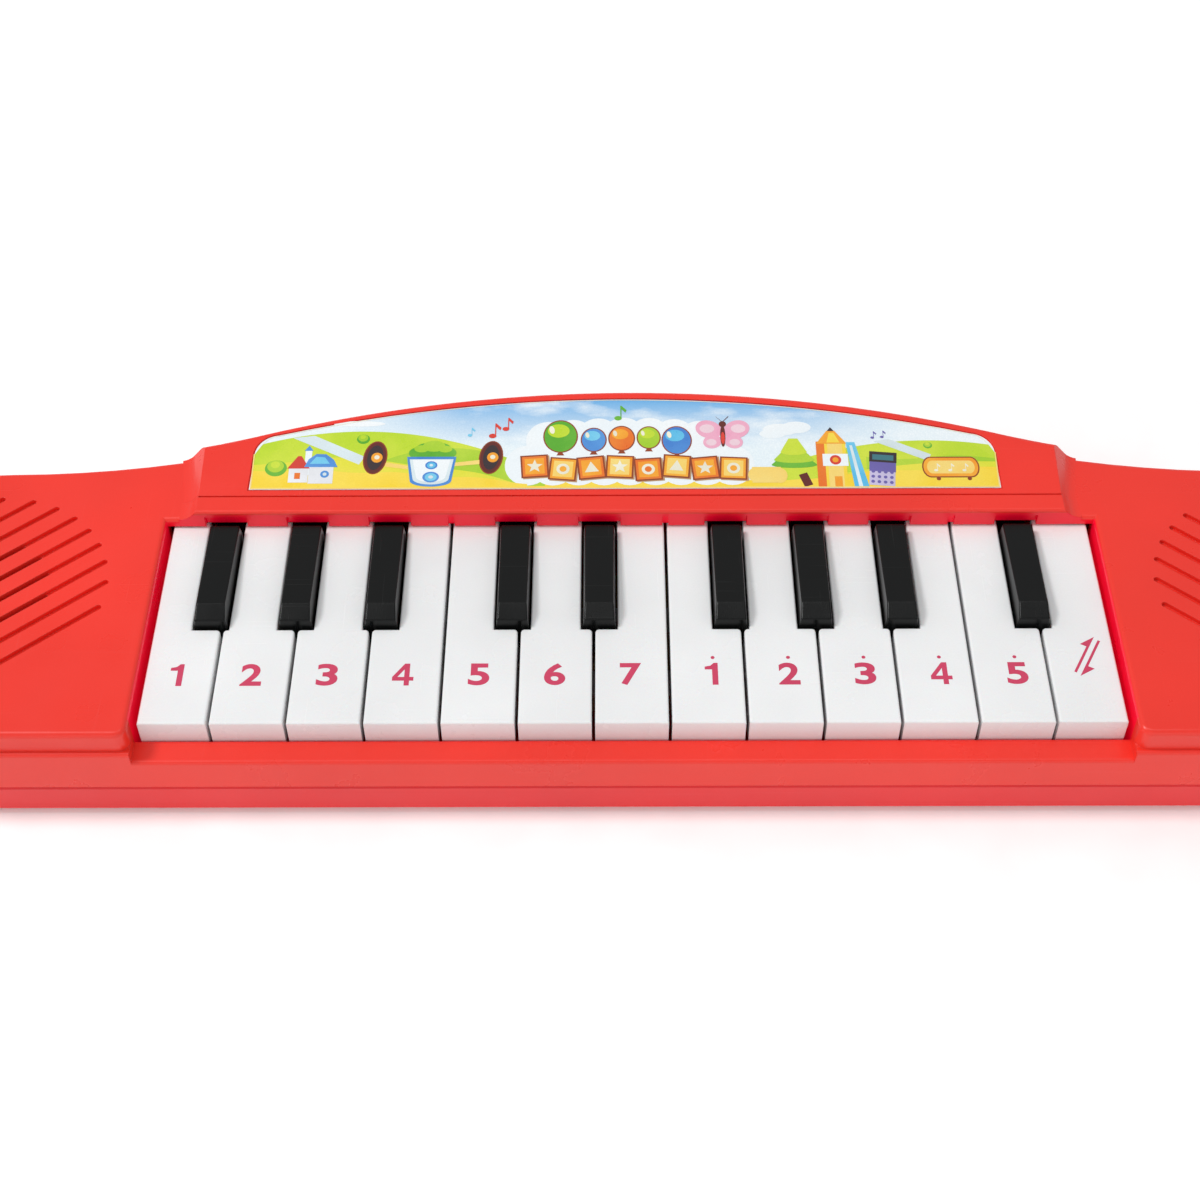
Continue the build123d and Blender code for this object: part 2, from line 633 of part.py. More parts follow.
# ================================================================ pivot rod
rod_half = BRACKETS_X[-1] + BRACKET_T / 2 + 0.1
with BuildPart() as key_pivot_rod:
    with BuildSketch(Plane.YZ.offset(-rod_half)):
        with Locations((PIVOT_Y, PIVOT_Z)):
            Circle(ROD_R)
    extrude(amount=2 * rod_half)
    chamfer(key_pivot_rod.edges().filter_by(GeomType.CIRCLE), 0.3)
save(key_pivot_rod.part, "key_pivot_rod")

# ================================================================ circuit board and contacts
with BuildPart() as main_circuit_board:
    add(block(-BOARD_HALF, BOARD_HALF, *BOARD_Y, BOARD_Z, BOARD_Z + BOARD_T))
    with BuildSketch(Plane.XY.offset(BOARD_Z)):
        with Locations(*BOARD_SCREWS):
            Circle(CLEAR_R)
    extrude(amount=BOARD_T, mode=Mode.SUBTRACT)
save(main_circuit_board.part, "main_circuit_board")


def dome_strip(y, centres):
    """Silicone strip on the board with one contact dome under each key."""
    with BuildPart() as strip:
        with BuildSketch(Plane.XY.offset(BOARD_Z + BOARD_T)):
            with Locations((0, y)):
                RectangleRounded(2 * BOARD_HALF - 1, 7.0, 1.5)
        extrude(amount=STRIP_T)
        with Locations(*[(x, y, BOARD_Z + BOARD_T + STRIP_T) for x in centres]):
            Cone(3.0, 1.9, DOME_H, align=(Align.CENTER, Align.CENTER, Align.MIN))
    return strip.part


white_middles = [sum(white_span(i)) / 2 for i in range(1, WHITE_COUNT + 1)]
save(dome_strip(WHITE_DOME_Y, white_middles), "white_key_domes")
save(dome_strip(BLACK_DOME_Y, BLACK_X.values()), "black_key_domes")

with BuildPart() as sound_chip:
    with BuildSketch(Plane.XY.offset(BOARD_Z - 1.6)):
        with Locations((24.0, KEY_FRONT + 32.0)):
            Circle(6.0)
    extrude(amount=1.6)
    fillet(sound_chip.edges().sort_by(Axis.Z)[0], 1.2)
save(sound_chip.part, "sound_chip")

with BuildPart() as board_components:
    for x, y, length, width, height in (
        (-60, 24, 3.2, 1.8, 1.2),
        (-52, 30, 3.2, 1.8, 1.2),
        (-44, 24, 4.6, 4.2, 3.4),
        (44, 30, 3.2, 1.8, 1.2),
        (52, 24, 4.6, 4.2, 3.4),
    ):
        foot = (x - length / 2, x + length / 2, KEY_FRONT + y - width / 2, KEY_FRONT + y + width / 2)
        add(block(*foot, BOARD_Z - height, BOARD_Z))
    with BuildSketch(Plane.XY.offset(BOARD_Z - 5.0)):
        with Locations((66.0, KEY_FRONT + 26.0), (74.0, KEY_FRONT + 26.0)):
            Circle(2.5)
    extrude(amount=5.0)
save(board_components.part, "board_components")


# ================================================================ screws
def screws(places, head_z, head_r, head_h, shank_r, length):
    """Screws driven upwards: each head is at head_z with its shank above, and a cross recess."""
    with BuildPart() as group:
        for x, y in places:
            for z, radius, height in ((head_z, head_r, head_h), (head_z + head_h, shank_r, length)):
                with BuildSketch(Plane.XY.offset(z)):
                    with Locations((x, y)):
                        Circle(radius)
                extrude(amount=height)
            with BuildSketch(Plane.XY.offset(head_z)):
                with Locations((x, y)):
                    Rectangle(head_r * 1.2, head_r * 0.26)
                    Rectangle(head_r * 0.26, head_r * 1.2)
            extrude(amount=head_h * 0.6, mode=Mode.SUBTRACT)
    return group.part


save(screws(SCREWS, FOOT_PROUD + 1.2, 2.7, HEAD_SINK - 1.25, 1.2, 11.0), "case_screws")

board_screw_head = (BOARD_Z + BOARD_T, SMALL_HEAD_R, 1.2)
board_screw_shank = (BOARD_Z - 4.4, SMALL_SHANK_R, 6.0)
with BuildPart() as board_screws:
    for x, y in BOARD_SCREWS:
        for z, radius, height in (board_screw_head, board_screw_shank):
            with BuildSketch(Plane.XY.offset(z)):
                with Locations((x, y)):
                    Circle(radius)
            extrude(amount=height)
save(board_screws.part, "board_screws")

# ================================================================ loudspeaker
SPEAKER_AXIS = Plane(origin=(-END_X, GRILLE_Y, 0), x_dir=(1, 0, 0), z_dir=(0, -1, 0))
TURN = Axis((-END_X, GRILLE_Y, 0), (0, 0, 1))
FLANGE_LOW = SPEAKER_TOP - 1.2
BASKET_LOW = 15.5


def turned(points):
    """Solid of revolution about the loudspeaker's axis from (radius, height) points."""
    with BuildPart() as solid:
        with BuildSketch(SPEAKER_AXIS):
            Polygon(*points, align=None)
        revolve(axis=TURN)
    return solid.part


basket = turned(
    [
        (14.9, SPEAKER_TOP),
        (SPEAKER_R, SPEAKER_TOP),
        (SPEAKER_R, FLANGE_LOW),
        (15.8, FLANGE_LOW),
        (9.5, BASKET_LOW),
        (3.5, BASKET_LOW),
        (3.5, BASKET_LOW + 0.8),
        (8.9, BASKET_LOW + 0.8),
        (14.9, FLANGE_LOW + 0.2),
    ]
)
with BuildPart() as speaker_frame:
    add(basket)
    # terminal strip on the side towards the board
    add(block(-END_X + 10.6, -END_X + 15.0, GRILLE_Y - 4, GRILLE_Y + 4, 17.0, 18.0))
save(speaker_frame.part, "speaker_frame")

cone = turned(
    [
        (14.5, SPEAKER_TOP - 0.3),
        (14.7, SPEAKER_TOP - 0.9),
        (12.8, SPEAKER_TOP - 1.1),
        (4.2, 18.6),
        (0.0, 19.8),
        (0.0, 20.3),
        (4.2, 19.1),
        (12.6, SPEAKER_TOP - 0.5),
    ]
)
save(cone, "speaker_cone")

with BuildPart() as speaker_magnet:
    with BuildSketch(Plane.XY.offset(MAGNET_LOW)):
        with Locations((-END_X, GRILLE_Y)):
            Circle(MAGNET_R)
    extrude(amount=BASKET_LOW - MAGNET_LOW)
    chamfer(speaker_magnet.edges().sort_by(Axis.Z)[0], 0.6)
save(speaker_magnet.part, "speaker_magnet")

with BuildPart() as speaker_clamp_ring:
    with BuildSketch(Plane.XY.offset(CLAMP_Z)):
        with Locations((-END_X, GRILLE_Y)):
            Circle(SPEAKER_R + 1.6)
            with PolarLocations(CLAMP_SCREW_R, 3, start_angle=CLAMP_ANGLES[0]):
                Circle(3.0)
            with PolarLocations(CLAMP_SCREW_R - 3.0, 3, start_angle=CLAMP_ANGLES[0]):
                Rectangle(6.0, 6.0)
            Circle(CLAMP_OPEN_R, mode=Mode.SUBTRACT)
            with PolarLocations(CLAMP_SCREW_R, 3, start_angle=CLAMP_ANGLES[0]):
                Circle(CLEAR_R, mode=Mode.SUBTRACT)
    extrude(amount=CLAMP_T - 0.05)
    with BuildSketch(Plane.XY.offset(CLAMP_Z + CLAMP_T - 0.1)):
        with Locations((-END_X, GRILLE_Y)):
            Circle(18.0)
            Circle(CLAMP_OPEN_R, mode=Mode.SUBTRACT)
    extrude(amount=FLANGE_LOW - CLAMP_Z - CLAMP_T)
save(speaker_clamp_ring.part, "speaker_clamp_ring")

CLAMP_SCREWS = [
    (
        -END_X + CLAMP_SCREW_R * math.cos(math.radians(a)),
        GRILLE_Y + CLAMP_SCREW_R * math.sin(math.radians(a)),
    )
    for a in CLAMP_ANGLES
]
save(screws(CLAMP_SCREWS, CLAMP_Z - 1.2, SMALL_HEAD_R, 1.2, SMALL_SHANK_R, 2.9), "speaker_screws")

# ================================================================ batteries, contacts and door
with BuildPart() as batteries:
    for k, plus_side in enumerate((-1, 1, -1)):
        y = BAY_MID_Y + (k - 1) * CELL_PITCH
        plus_end = (BAY_X[0] if plus_side < 0 else BAY_X[1]) - plus_side * 0.55
        for start, radius, length in ((0, NUB_R, NUB_H), (NUB_H, CELL_R, CELL_BODY)):
            face = (plus_end - plus_side * start, y, CELL_Z)
            with BuildSketch(Plane(origin=face, z_dir=(-plus_side, 0, 0))):
                Circle(radius)
            extrude(amount=length)
save(batteries.part, "batteries")

left_plate = (BAY_X[0] + 0.05, BAY_X[0] + 0.05 + PLATE_T)
right_plate = (BAY_X[1] - 0.05 - PLATE_T, BAY_X[1] - 0.05)
with BuildPart() as battery_contacts:
    y1, y2, y3 = (BAY_MID_Y + (k - 1) * CELL_PITCH for k in range(3))
    strap = (BAY_Y[1] - 0.45, BAY_Y[1] - 0.2)
    tall = (CELL_Z - PLATE_HALF, CELL_Z + PLATE_HALF)
    add(block(*left_plate, y1 - PLATE_HALF, y1 + PLATE_HALF, *tall))
    add(block(*left_plate, y2 - PLATE_HALF, y3 + PLATE_HALF, *tall))
    add(block(*right_plate, y1 - PLATE_HALF, y2 + PLATE_HALF, *tall))
    add(block(*right_plate, y3 - PLATE_HALF, strap[1], *tall))
    # strap along the bay wall that brings the far terminal back, and the two solder tabs
    tag = (CELL_Z - TAG_HALF, CELL_Z + TAG_HALF)
    add(block(BAY_X[0] - TAG_OUT, right_plate[1], *strap, *tag))
    add(block(BAY_X[0] - TAG_OUT, left_plate[1], y1 - 0.2, y1 + 0.2, *tag))
save(battery_contacts.part, "battery_contacts")

SPRING_WIRE = 0.35
with BuildPart() as battery_springs:
    for k, spring_side in enumerate((1, -1, 1)):
        y = BAY_MID_Y + (k - 1) * CELL_PITCH
        plate_face = right_plate[0] if spring_side > 0 else left_plate[1]
        start = plate_face - spring_side * (SPRING_WIRE + 0.02)
        inward = (-spring_side, 0, 0)
        with BuildLine():
            coil = Helix(1.2, 3.65, 3.0, center=(start, y, CELL_Z), direction=inward)
        with BuildSketch(Plane(origin=coil @ 0, z_dir=coil % 0)):
            Circle(SPRING_WIRE)
        sweep(path=coil, is_frenet=True)
save(battery_springs.part, "battery_springs")

with BuildPart() as battery_door:
    gap = DOOR_GAP
    x0, x1 = BAY_X[0] - DOOR_LEDGE + gap, BAY_X[1] + DOOR_LEDGE - gap
    add(block(x0, x1, BAY_Y[0] + gap, BAY_Y[1] - gap, FOOT_PROUD, FOOT_PROUD + DOOR_T - 0.05))
    with BuildSketch(Plane.XY.offset(FOOT_PROUD)):
        with Locations((DOOR_TAB_X, BAY_MID_Y)):
            Circle(DOOR_TAB_R)
    extrude(amount=DOOR_T - 0.05)
    with BuildSketch(Plane.XY.offset(FOOT_PROUD)):
        with Locations((DOOR_TAB_X, BAY_MID_Y)):
            Circle(1.3)
    extrude(amount=DOOR_T, mode=Mode.SUBTRACT)
    with BuildSketch(Plane.XY.offset(FOOT_PROUD)):
        with Locations((DOOR_TAB_X, BAY_MID_Y)):
            Circle(2.3)
    extrude(amount=0.7, mode=Mode.SUBTRACT)
save(battery_door.part, "battery_door")
save(screws([(DOOR_TAB_X, BAY_MID_Y)], FOOT_PROUD - 0.35, 2.2, 1.05, 0.95, 6.0), "battery_door_screw")

# ================================================================ power switch
with BuildPart() as power_switch:
    body = (SWITCH_X - 7.5, SWITCH_X + 7.5, SWITCH_Y - 4.0, SWITCH_Y + 4.0)
    add(block(*body, FLOOR_Z, FLOOR_Z + 5.3))
    track = (SWITCH_X - 5.2, SWITCH_X + 5.2, SWITCH_Y - 2.9, SWITCH_Y + 2.9)
    add(block(*track, FLOOR_Z, FLOOR_Z + 2.2), mode=Mode.SUBTRACT)
save(power_switch.part, "power_switch")

with BuildPart() as switch_knob:
    x = SWITCH_X - SWITCH_TRAVEL / 2
    add(block(x - 2.0, x + 2.0, SWITCH_Y - 1.6, SWITCH_Y + 1.6, FOOT_PROUD - 0.5, FLOOR_Z + 0.5))
    add(block(x - 2.8, x + 2.8, SWITCH_Y - 2.6, SWITCH_Y + 2.6, FLOOR_Z + 0.3, FLOOR_Z + 1.8))
    for k in (-1, 0, 1):
        rib = (x + k * 1.2 - 0.25, x + k * 1.2 + 0.25)
        add(block(*rib, SWITCH_Y - 2, SWITCH_Y + 2, 0, FOOT_PROUD - 0.2), mode=Mode.SUBTRACT)
save(switch_knob.part, "switch_knob")


# ================================================================ wires
def lead_pair(routes, radius):
    """Insulated wires along routes of points, each bend an arc of the given radius."""
    with BuildPart() as pair:
        for points in routes:
            with BuildLine():
                path = FilletPolyline(*points, radius=radius)
            with BuildSketch(Plane(origin=path @ 0, z_dir=path % 0)):
                Circle(WIRE_R)
            sweep(path=path)
    return pair.part


lug_x = -END_X + 13.5
speaker_routes = [
    [(lug_x, GRILLE_Y + dy, 17.0), (lug_x, GRILLE_Y + dy, WIRE_Z), (-BOARD_HALF, GRILLE_Y + dy, WIRE_Z)]
    for dy in (-2.0, 2.0)
]
save(lead_pair(speaker_routes, 3.0), "speaker_leads")

tab_x = BAY_X[0] - TAG_OUT
strap_end = BAY_Y[1] - 0.325
battery_routes = [
    [(tab_x, BAY_MID_Y - CELL_PITCH, WIRE_Z), (BOARD_HALF, BAY_MID_Y - CELL_PITCH, WIRE_Z)],
    [
        (tab_x, strap_end, WIRE_Z),
        (tab_x - 4.0, strap_end, WIRE_Z),
        (tab_x - 4.0, strap_end - 8.0, WIRE_Z),
        (BOARD_HALF, strap_end - 8.0, WIRE_Z),
    ],
]
save(lead_pair(battery_routes[1:], 1.6), "battery_lead_negative")
with BuildPart() as battery_lead_positive:
    with BuildSketch(Plane(origin=battery_routes[0][0], z_dir=(-1, 0, 0))):
        Circle(WIRE_R)
    extrude(amount=tab_x - BOARD_HALF)
save(battery_lead_positive.part, "battery_lead_positive")

switch_routes = [
    [
        (SWITCH_X + 7.5, SWITCH_Y + dy, 6.0),
        (SWITCH_X + 12.5, SWITCH_Y + dy, 6.0),
        (SWITCH_X + 17.5, SWITCH_Y + 8.0 + dy, WIRE_Z),
        (-BOARD_HALF, SWITCH_Y + 8.0 + dy, WIRE_Z),
    ]
    for dy in (-1.5, 1.5)
]
save(lead_pair(switch_routes, 3.0), "switch_leads")

# ================================================================ rubber feet
with BuildPart() as rubber_feet:
    with BuildSketch():
        with Locations(*FEET):
            Circle(FOOT_R)
    extrude(amount=FOOT_PROUD + FOOT_SEAT_DEEP - RUNNING)
    fillet(rubber_feet.edges().filter_by_position(Axis.Z, -0.01, 0.01), 0.4)
save(rubber_feet.part, "rubber_feet")
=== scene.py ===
import math

import bpy
from mathutils import Matrix, Vector


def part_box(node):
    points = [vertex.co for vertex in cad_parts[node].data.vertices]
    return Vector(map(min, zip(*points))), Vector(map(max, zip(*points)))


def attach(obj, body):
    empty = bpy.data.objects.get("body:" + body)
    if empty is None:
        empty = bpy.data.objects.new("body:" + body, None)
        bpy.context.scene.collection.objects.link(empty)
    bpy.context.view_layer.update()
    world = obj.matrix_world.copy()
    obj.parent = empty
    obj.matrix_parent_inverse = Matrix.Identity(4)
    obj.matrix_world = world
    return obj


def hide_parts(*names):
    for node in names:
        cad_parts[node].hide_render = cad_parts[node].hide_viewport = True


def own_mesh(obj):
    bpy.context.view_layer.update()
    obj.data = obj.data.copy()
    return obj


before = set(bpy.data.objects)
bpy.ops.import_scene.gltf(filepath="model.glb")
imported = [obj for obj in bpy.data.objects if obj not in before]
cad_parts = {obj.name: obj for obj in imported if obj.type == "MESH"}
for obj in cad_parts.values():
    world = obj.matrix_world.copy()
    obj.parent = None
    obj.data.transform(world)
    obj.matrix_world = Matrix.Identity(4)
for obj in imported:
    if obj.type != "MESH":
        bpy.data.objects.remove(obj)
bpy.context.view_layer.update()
MM = 0.001
WHITES = ["white_key_%02d" % n for n in range(1, 14)]
BLACKS = ["black_key_%02d" % n for n in range(1, 10)]
scene = bpy.context.scene
scene.view_settings.view_transform = "Standard"


# ------------------------------------------------------------------ camera and light
def turn(axis, degrees):
    return Matrix.Rotation(math.radians(degrees), 3, axis)


# place in metres, angles in degrees
CAMERA_PLACE = (-0.0048, -0.2897, 0.3485)
LOOK_DOWN = 49.2
HEADING = 0.38
ROLL = -0.44
FOCAL_LENGTH = 59.16
SENSOR_WIDTH = 36.0
WORLD_LEVEL = 0.55
FLOOR_GLOW = 0.14
FLOOR_HALF = 30.0
LAMP_TARGET = (0, 0, 0.02)
# name, place, size and power of each lamp
LAMPS = (
    ("key_light", (-0.80, 0.05, 1.15), (0.28, 0.28), 8.0),
    ("front_light", (0.0, -1.15, 0.38), (1.5, 0.5), 1.8),
    ("top_light", (0.0, 0.03, 1.30), (1.0, 0.22), 2.2),
)


def add_camera():
    """Camera above and in front of the keys, looking down at them."""
    data = bpy.data.cameras.new("camera")
    data.lens = FOCAL_LENGTH
    data.sensor_width = SENSOR_WIDTH
    data.clip_start = 0.01
    data.dof.use_dof = False
    camera = bpy.data.objects.new("camera", data)
    scene.collection.objects.link(camera)
    aim = turn("Z", HEADING) @ turn("X", 90.0 - LOOK_DOWN) @ turn("Z", ROLL)
    camera.matrix_world = Matrix.Translation(CAMERA_PLACE) @ aim.to_4x4()
    scene.camera = camera


def add_lamp(name, place, size, power):
    """Rectangular lamp aimed at the keys."""
    data = bpy.data.lights.new(name, "AREA")
    data.shape = "RECTANGLE"
    data.size, data.size_y = size
    data.energy = power
    lamp = bpy.data.objects.new(name, data)
    scene.collection.objects.link(lamp)
    lamp.location = place
    aim = Vector(LAMP_TARGET) - Vector(place)
    lamp.rotation_euler = aim.to_track_quat("-Z", "Y").to_euler()


def add_studio():
    """White floor and surroundings, a key light on the left, soft lights in front and above."""
    world = bpy.data.worlds.new("studio")
    world.use_nodes = True
    back = world.node_tree.nodes["Background"]
    back.inputs["Color"].default_value = (1.0, 1.0, 1.0, 1.0)
    back.inputs["Strength"].default_value = WORLD_LEVEL
    scene.world = world
    for name, place, size, power in LAMPS:
        add_lamp(name, place, size, power)
    mesh = bpy.data.meshes.new("floor")
    corners = [(x * FLOOR_HALF, y * FLOOR_HALF, 0) for x, y in ((-1, -1), (1, -1), (1, 1), (-1, 1))]
    mesh.from_pydata(corners, [], [(0, 1, 2, 3)])
    floor = bpy.data.objects.new("floor", mesh)
    scene.collection.objects.link(floor)
    card = painted("floor_card", (0.96, 0.96, 0.96), 0.9, 60.0)
    surface = card.node_tree.nodes["Principled BSDF"]
    surface.inputs["Emission Color"].default_value = (1.0, 1.0, 1.0, 1.0)
    surface.inputs["Emission Strength"].default_value = FLOOR_GLOW
    floor.data.materials.append(card)


# ------------------------------------------------------------------ materials
FINE_BUMP = 0.00002
EDGE_RADIUS = 0.00025
PLASTIC_IOR = 1.46
DRAWN_LINES = (1.0, 1.0, 18.0)
INK_MOTTLE = 90.0


class Shader:
    """A material under construction: adds nodes and joins them up."""

    def __init__(self, name):
        self.material = bpy.data.materials.new(name)
        self.material.use_nodes = True
        self.tree = self.material.node_tree
        self.surface = self.tree.nodes["Principled BSDF"]
        self.coords = self.node("ShaderNodeTexCoord").outputs["Object"]

    def node(self, kind, settings=None, **sockets):
        made = self.tree.nodes.new(kind)
        for key, value in (settings or {}).items():
            setattr(made, key, value)
        for key, value in sockets.items():
            self.put(made, key.replace("_", " "), value)
        return made

    def put(self, made, socket, value):
        """Sets or links an input, given by its name or, where names repeat, as n and its number."""
        numbered = socket[0] == "n" and socket[1:].isdigit()
        target = made.inputs[int(socket[1:]) if numbered else socket]
        if isinstance(value, bpy.types.NodeSocket):
            self.tree.links.new(value, target)
        elif isinstance(value, (tuple, list)) and len(value) == 3 and target.type == "RGBA":
            target.default_value = (*value, 1.0)
        else:
            target.default_value = value

    def noise(self, scale, detail=3.0, stretch=None, spin=0.0):
        """Noise value from 0 to 1 over the object, stretched by a scale per axis when given."""
        where = self.coords
        if stretch:
            mapping = self.node("ShaderNodeMapping", Vector=where, Scale=stretch,
                                Rotation=(0, 0, spin))
            where = mapping.outputs[0]
        made = self.node("ShaderNodeTexNoise", Vector=where, Scale=scale, Detail=detail)
        return made.outputs["Fac"]

    def remap(self, value, low, high, to_low=0.0, to_high=1.0):
        made = self.node("ShaderNodeMapRange", {"clamp": True}, Value=value, From_Min=low,
                         From_Max=high, To_Min=to_low, To_Max=to_high)
        return made.outputs["Result"]

    def mix(self, factor, one, two):
        made = self.node("ShaderNodeMix", {"data_type": "RGBA"})
        self.put(made, "n0", factor)
        self.put(made, "n6", one)
        self.put(made, "n7", two)
        return made.outputs[2]

    def maths(self, operation, one, two):
        return self.node("ShaderNodeMath", {"operation": operation}, n0=one, n1=two).outputs[0]

    def bump(self, height, strength, distance, round_off=0.0):
        made = self.node("ShaderNodeBump", Height=height, Strength=strength, Distance=distance)
        if round_off:
            soft = self.node("ShaderNodeBevel", {"samples": 4}, Radius=round_off)
            self.tree.links.new(soft.outputs[0], made.inputs["Normal"])
        return made.outputs[0]

    def finish(self, **sockets):
        for key, value in sockets.items():
            self.put(self.surface, key.replace("_", " "), value)
        return self.material


def shade(colour, factor):
    return tuple(min(1.0, c * factor) for c in colour)


def plastic(name, colour, rough=0.3, grain=0.25, scuff=0.35, coat=0.0, glow=0.0,
            ior=PLASTIC_IOR, local=None):
    """Moulded plastic: slight flow mottling, fine texture, hair scratches and uneven polish.

    glow is the share of light scattered under the surface. local may change the tone by place
    on the object, and gives more shader inputs.
    """
    s = Shader(name)
    flow = s.remap(s.noise(22.0, 4.0), 0.3, 0.7)
    tone = s.mix(flow, shade(colour, 0.93), shade(colour, 1.05))
    speck = s.remap(s.noise(2600.0, 2.0), 0.3, 0.75, 0.0, 0.10)
    tone = s.mix(speck, tone, shade(colour, 0.72))
    hair_one = s.remap(s.noise(26.0, 1.0, (1.0, 90.0, 30.0), 0.6), 0.70, 0.74)
    hair_two = s.remap(s.noise(31.0, 1.0, (80.0, 1.2, 30.0), -0.45), 0.71, 0.75)
    hairs = s.maths("MAXIMUM", hair_one, hair_two)
    pale = tuple(c + (1.0 - c) * 0.35 for c in colour)
    tone = s.mix(s.maths("MULTIPLY", hairs, scuff * 0.12), tone, pale)
    polish = s.remap(s.noise(75.0, 5.0), 0.3, 0.75, rough - 0.05, rough + 0.08)
    polish = s.maths("ADD", polish, s.maths("MULTIPLY", hairs, scuff * 0.3))
    relief = s.maths("ADD", s.noise(3400.0, 2.0), s.maths("MULTIPLY", s.noise(260.0, 2.0), 1.6))
    relief = s.maths("SUBTRACT", relief, s.maths("MULTIPLY", hairs, 0.15 * scuff))
    normal = s.bump(relief, grain, FINE_BUMP, EDGE_RADIUS)
    extra = {"Coat_Weight": coat} if coat else {}
    if glow:
        extra.update(Subsurface_Weight=glow, Subsurface_Radius=(0.004, 0.0015, 0.001),
                     Subsurface_Scale=0.5)
    if local:
        tone, more = local(s, tone)
        extra.update(more)
    return s.finish(Base_Color=tone, Roughness=polish, Normal=normal, IOR=ior, **extra)


def painted(name, colour, rough, scale):
    """Plain card, film or print: one colour with fine fibre mottling."""
    s = Shader(name)
    tone = s.mix(s.remap(s.noise(scale, 4.0), 0.3, 0.7), shade(colour, 0.96), shade(colour, 1.02))
    polish = s.remap(s.noise(scale * 2, 3.0), 0.3, 0.7, rough - 0.04, rough + 0.05)
    normal = s.bump(s.noise(scale * 8), 0.15, FINE_BUMP)
    return s.finish(Base_Color=tone, Roughness=polish, Normal=normal)


def metal(name, colour, rough):
    """Plated or rolled metal with drawn lines and dull patches."""
    s = Shader(name)
    lines = s.noise(420.0, 3.0, DRAWN_LINES)
    patch = s.remap(s.noise(130.0, 4.0), 0.35, 0.7)
    tone = s.mix(patch, shade(colour, 0.82), shade(colour, 1.08))
    polish = s.remap(lines, 0.25, 0.8, rough - 0.08, rough + 0.14)
    normal = s.bump(lines, 0.2, FINE_BUMP)
    return s.finish(Base_Color=tone, Roughness=polish, Metallic=1.0, Normal=normal)


def rubber(name, colour):
    """Matt rubber with a mottled tone and a grainy surface."""
    s = Shader(name)
    tone = s.mix(s.remap(s.noise(160.0, 4.0), 0.3, 0.7), shade(colour, 0.8), shade(colour, 1.15))
    normal = s.bump(s.noise(2400.0, 3.0), 0.45, 0.00004, 0.0002)
    polish = s.remap(s.noise(300.0), 0.3, 0.7, 0.62, 0.8)
    return s.finish(Base_Color=tone, Roughness=polish, Normal=normal)


def board_material():
    """Brown paper board with a fine pattern of cells and fibre over it."""
    s = Shader("circuit_board")
    cells = s.node("ShaderNodeTexBrick", Vector=s.coords, Scale=240.0, Color1=(0.30, 0.17, 0.07),
                   Color2=(0.36, 0.21, 0.09), Mortar=(0.48, 0.31, 0.12))
    fibre = s.remap(s.noise(900.0, 5.0), 0.3, 0.7, 0.0, 0.35)
    tone = s.mix(fibre, cells.outputs["Color"], (0.20, 0.11, 0.05))
    return s.finish(Base_Color=tone, Roughness=s.remap(s.noise(400.0), 0.3, 0.7, 0.4, 0.6),
                    Normal=s.bump(cells.outputs["Fac"], 0.3, 0.00003))


def printed(s, tone, dot_colour, smooth, rough):
    """Print on coated film: fine dots over the tone, and a slightly wavy clear coat."""
    dots = s.node("ShaderNodeTexVoronoi", Vector=s.coords, Scale=2300.0)
    tone = s.mix(s.remap(dots.outputs["Distance"], 0.2, 0.6, 0.0, 0.10), tone, dot_colour)
    return s.finish(Base_Color=tone, Roughness=s.remap(s.noise(180.0), 0.3, 0.7, smooth, rough),
                    Normal=s.bump(s.noise(120.0, 3.0), 0.08, 0.00004), Coat_Weight=0.25)


def sky_material():
    """Printed sky of the label: blue at the top, pale low down, with soft white clouds."""
    s = Shader("label_sky")
    split = s.node("ShaderNodeSeparateXYZ", Vector=s.coords)
    low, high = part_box("header_label")
    climb = s.remap(split.outputs["Y"], low.y + 0.46 * (high.y - low.y), high.y)
    away = s.maths("ABSOLUTE", split.outputs["X"], 0.0)
    inner = s.remap(away, 0.45 * high.x, 0.78 * high.x, 1.0, 0.0)
    tone = s.mix(s.maths("MULTIPLY", climb, inner), (0.84, 0.92, 0.95), (0.13, 0.42, 0.78))
    cloud = s.noise(42.0, 6.0, (1.0, 2.6, 1.0))
    tone = s.mix(s.remap(cloud, 0.50, 0.62, 0.0, 0.8), tone, (0.90, 0.95, 0.97))
    return printed(s, tone, (0.10, 0.35, 0.60), 0.22, 0.34)


def ink(name, colour, second=None):
    """Printed ink that runs unevenly between two colours."""
    s = Shader(name)
    spread = s.remap(s.noise(INK_MOTTLE, 4.0), 0.35, 0.65)
    tone = s.mix(spread, colour, second or shade(colour, 0.85))
    return printed(s, tone, shade(colour, 0.6), 0.24, 0.36)


def dress(names, material):
    """Gives CAD nodes a material."""
    for name in names:
        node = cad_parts[name]
        if not node.data.materials:
            node.data.materials.append(material)
        for index in range(len(node.data.materials)):
            node.data.materials[index] = material


def between(s, value, low, high, edge=0.0001):
    """1 between two values and 0 outside, with a short ramp at both ends."""
    rise = s.remap(value, low - edge, low + edge)
    fall = s.remap(value, high - edge, high + edge, 1.0, 0.0)
    return s.maths("MULTIPLY", rise, fall)


# the key well: its height above the floor, and the rest from the outline of the white keys
WELL_HIGH = 0.0276
WELL_DEEP = 55.25 * MM
WELL_SIDE = 1.5 * MM
WELL_FRONT = 0.55 * MM
RECESS_DEEP = 1.25 * MM
RECESS_INSET = 6 * MM
# painted shade and painted light in the key well: the deeper red tone, and the colour and strength
# of a faint red emission for bounced light
WELL_PAINTED_SHADE_RED = (0.88, 0.003, 0.03)
WELL_PAINTED_GLOW_COLOUR = (1.0, 0.0, 0.03)
WELL_PAINTED_GLOW_STRENGTH = 0.17


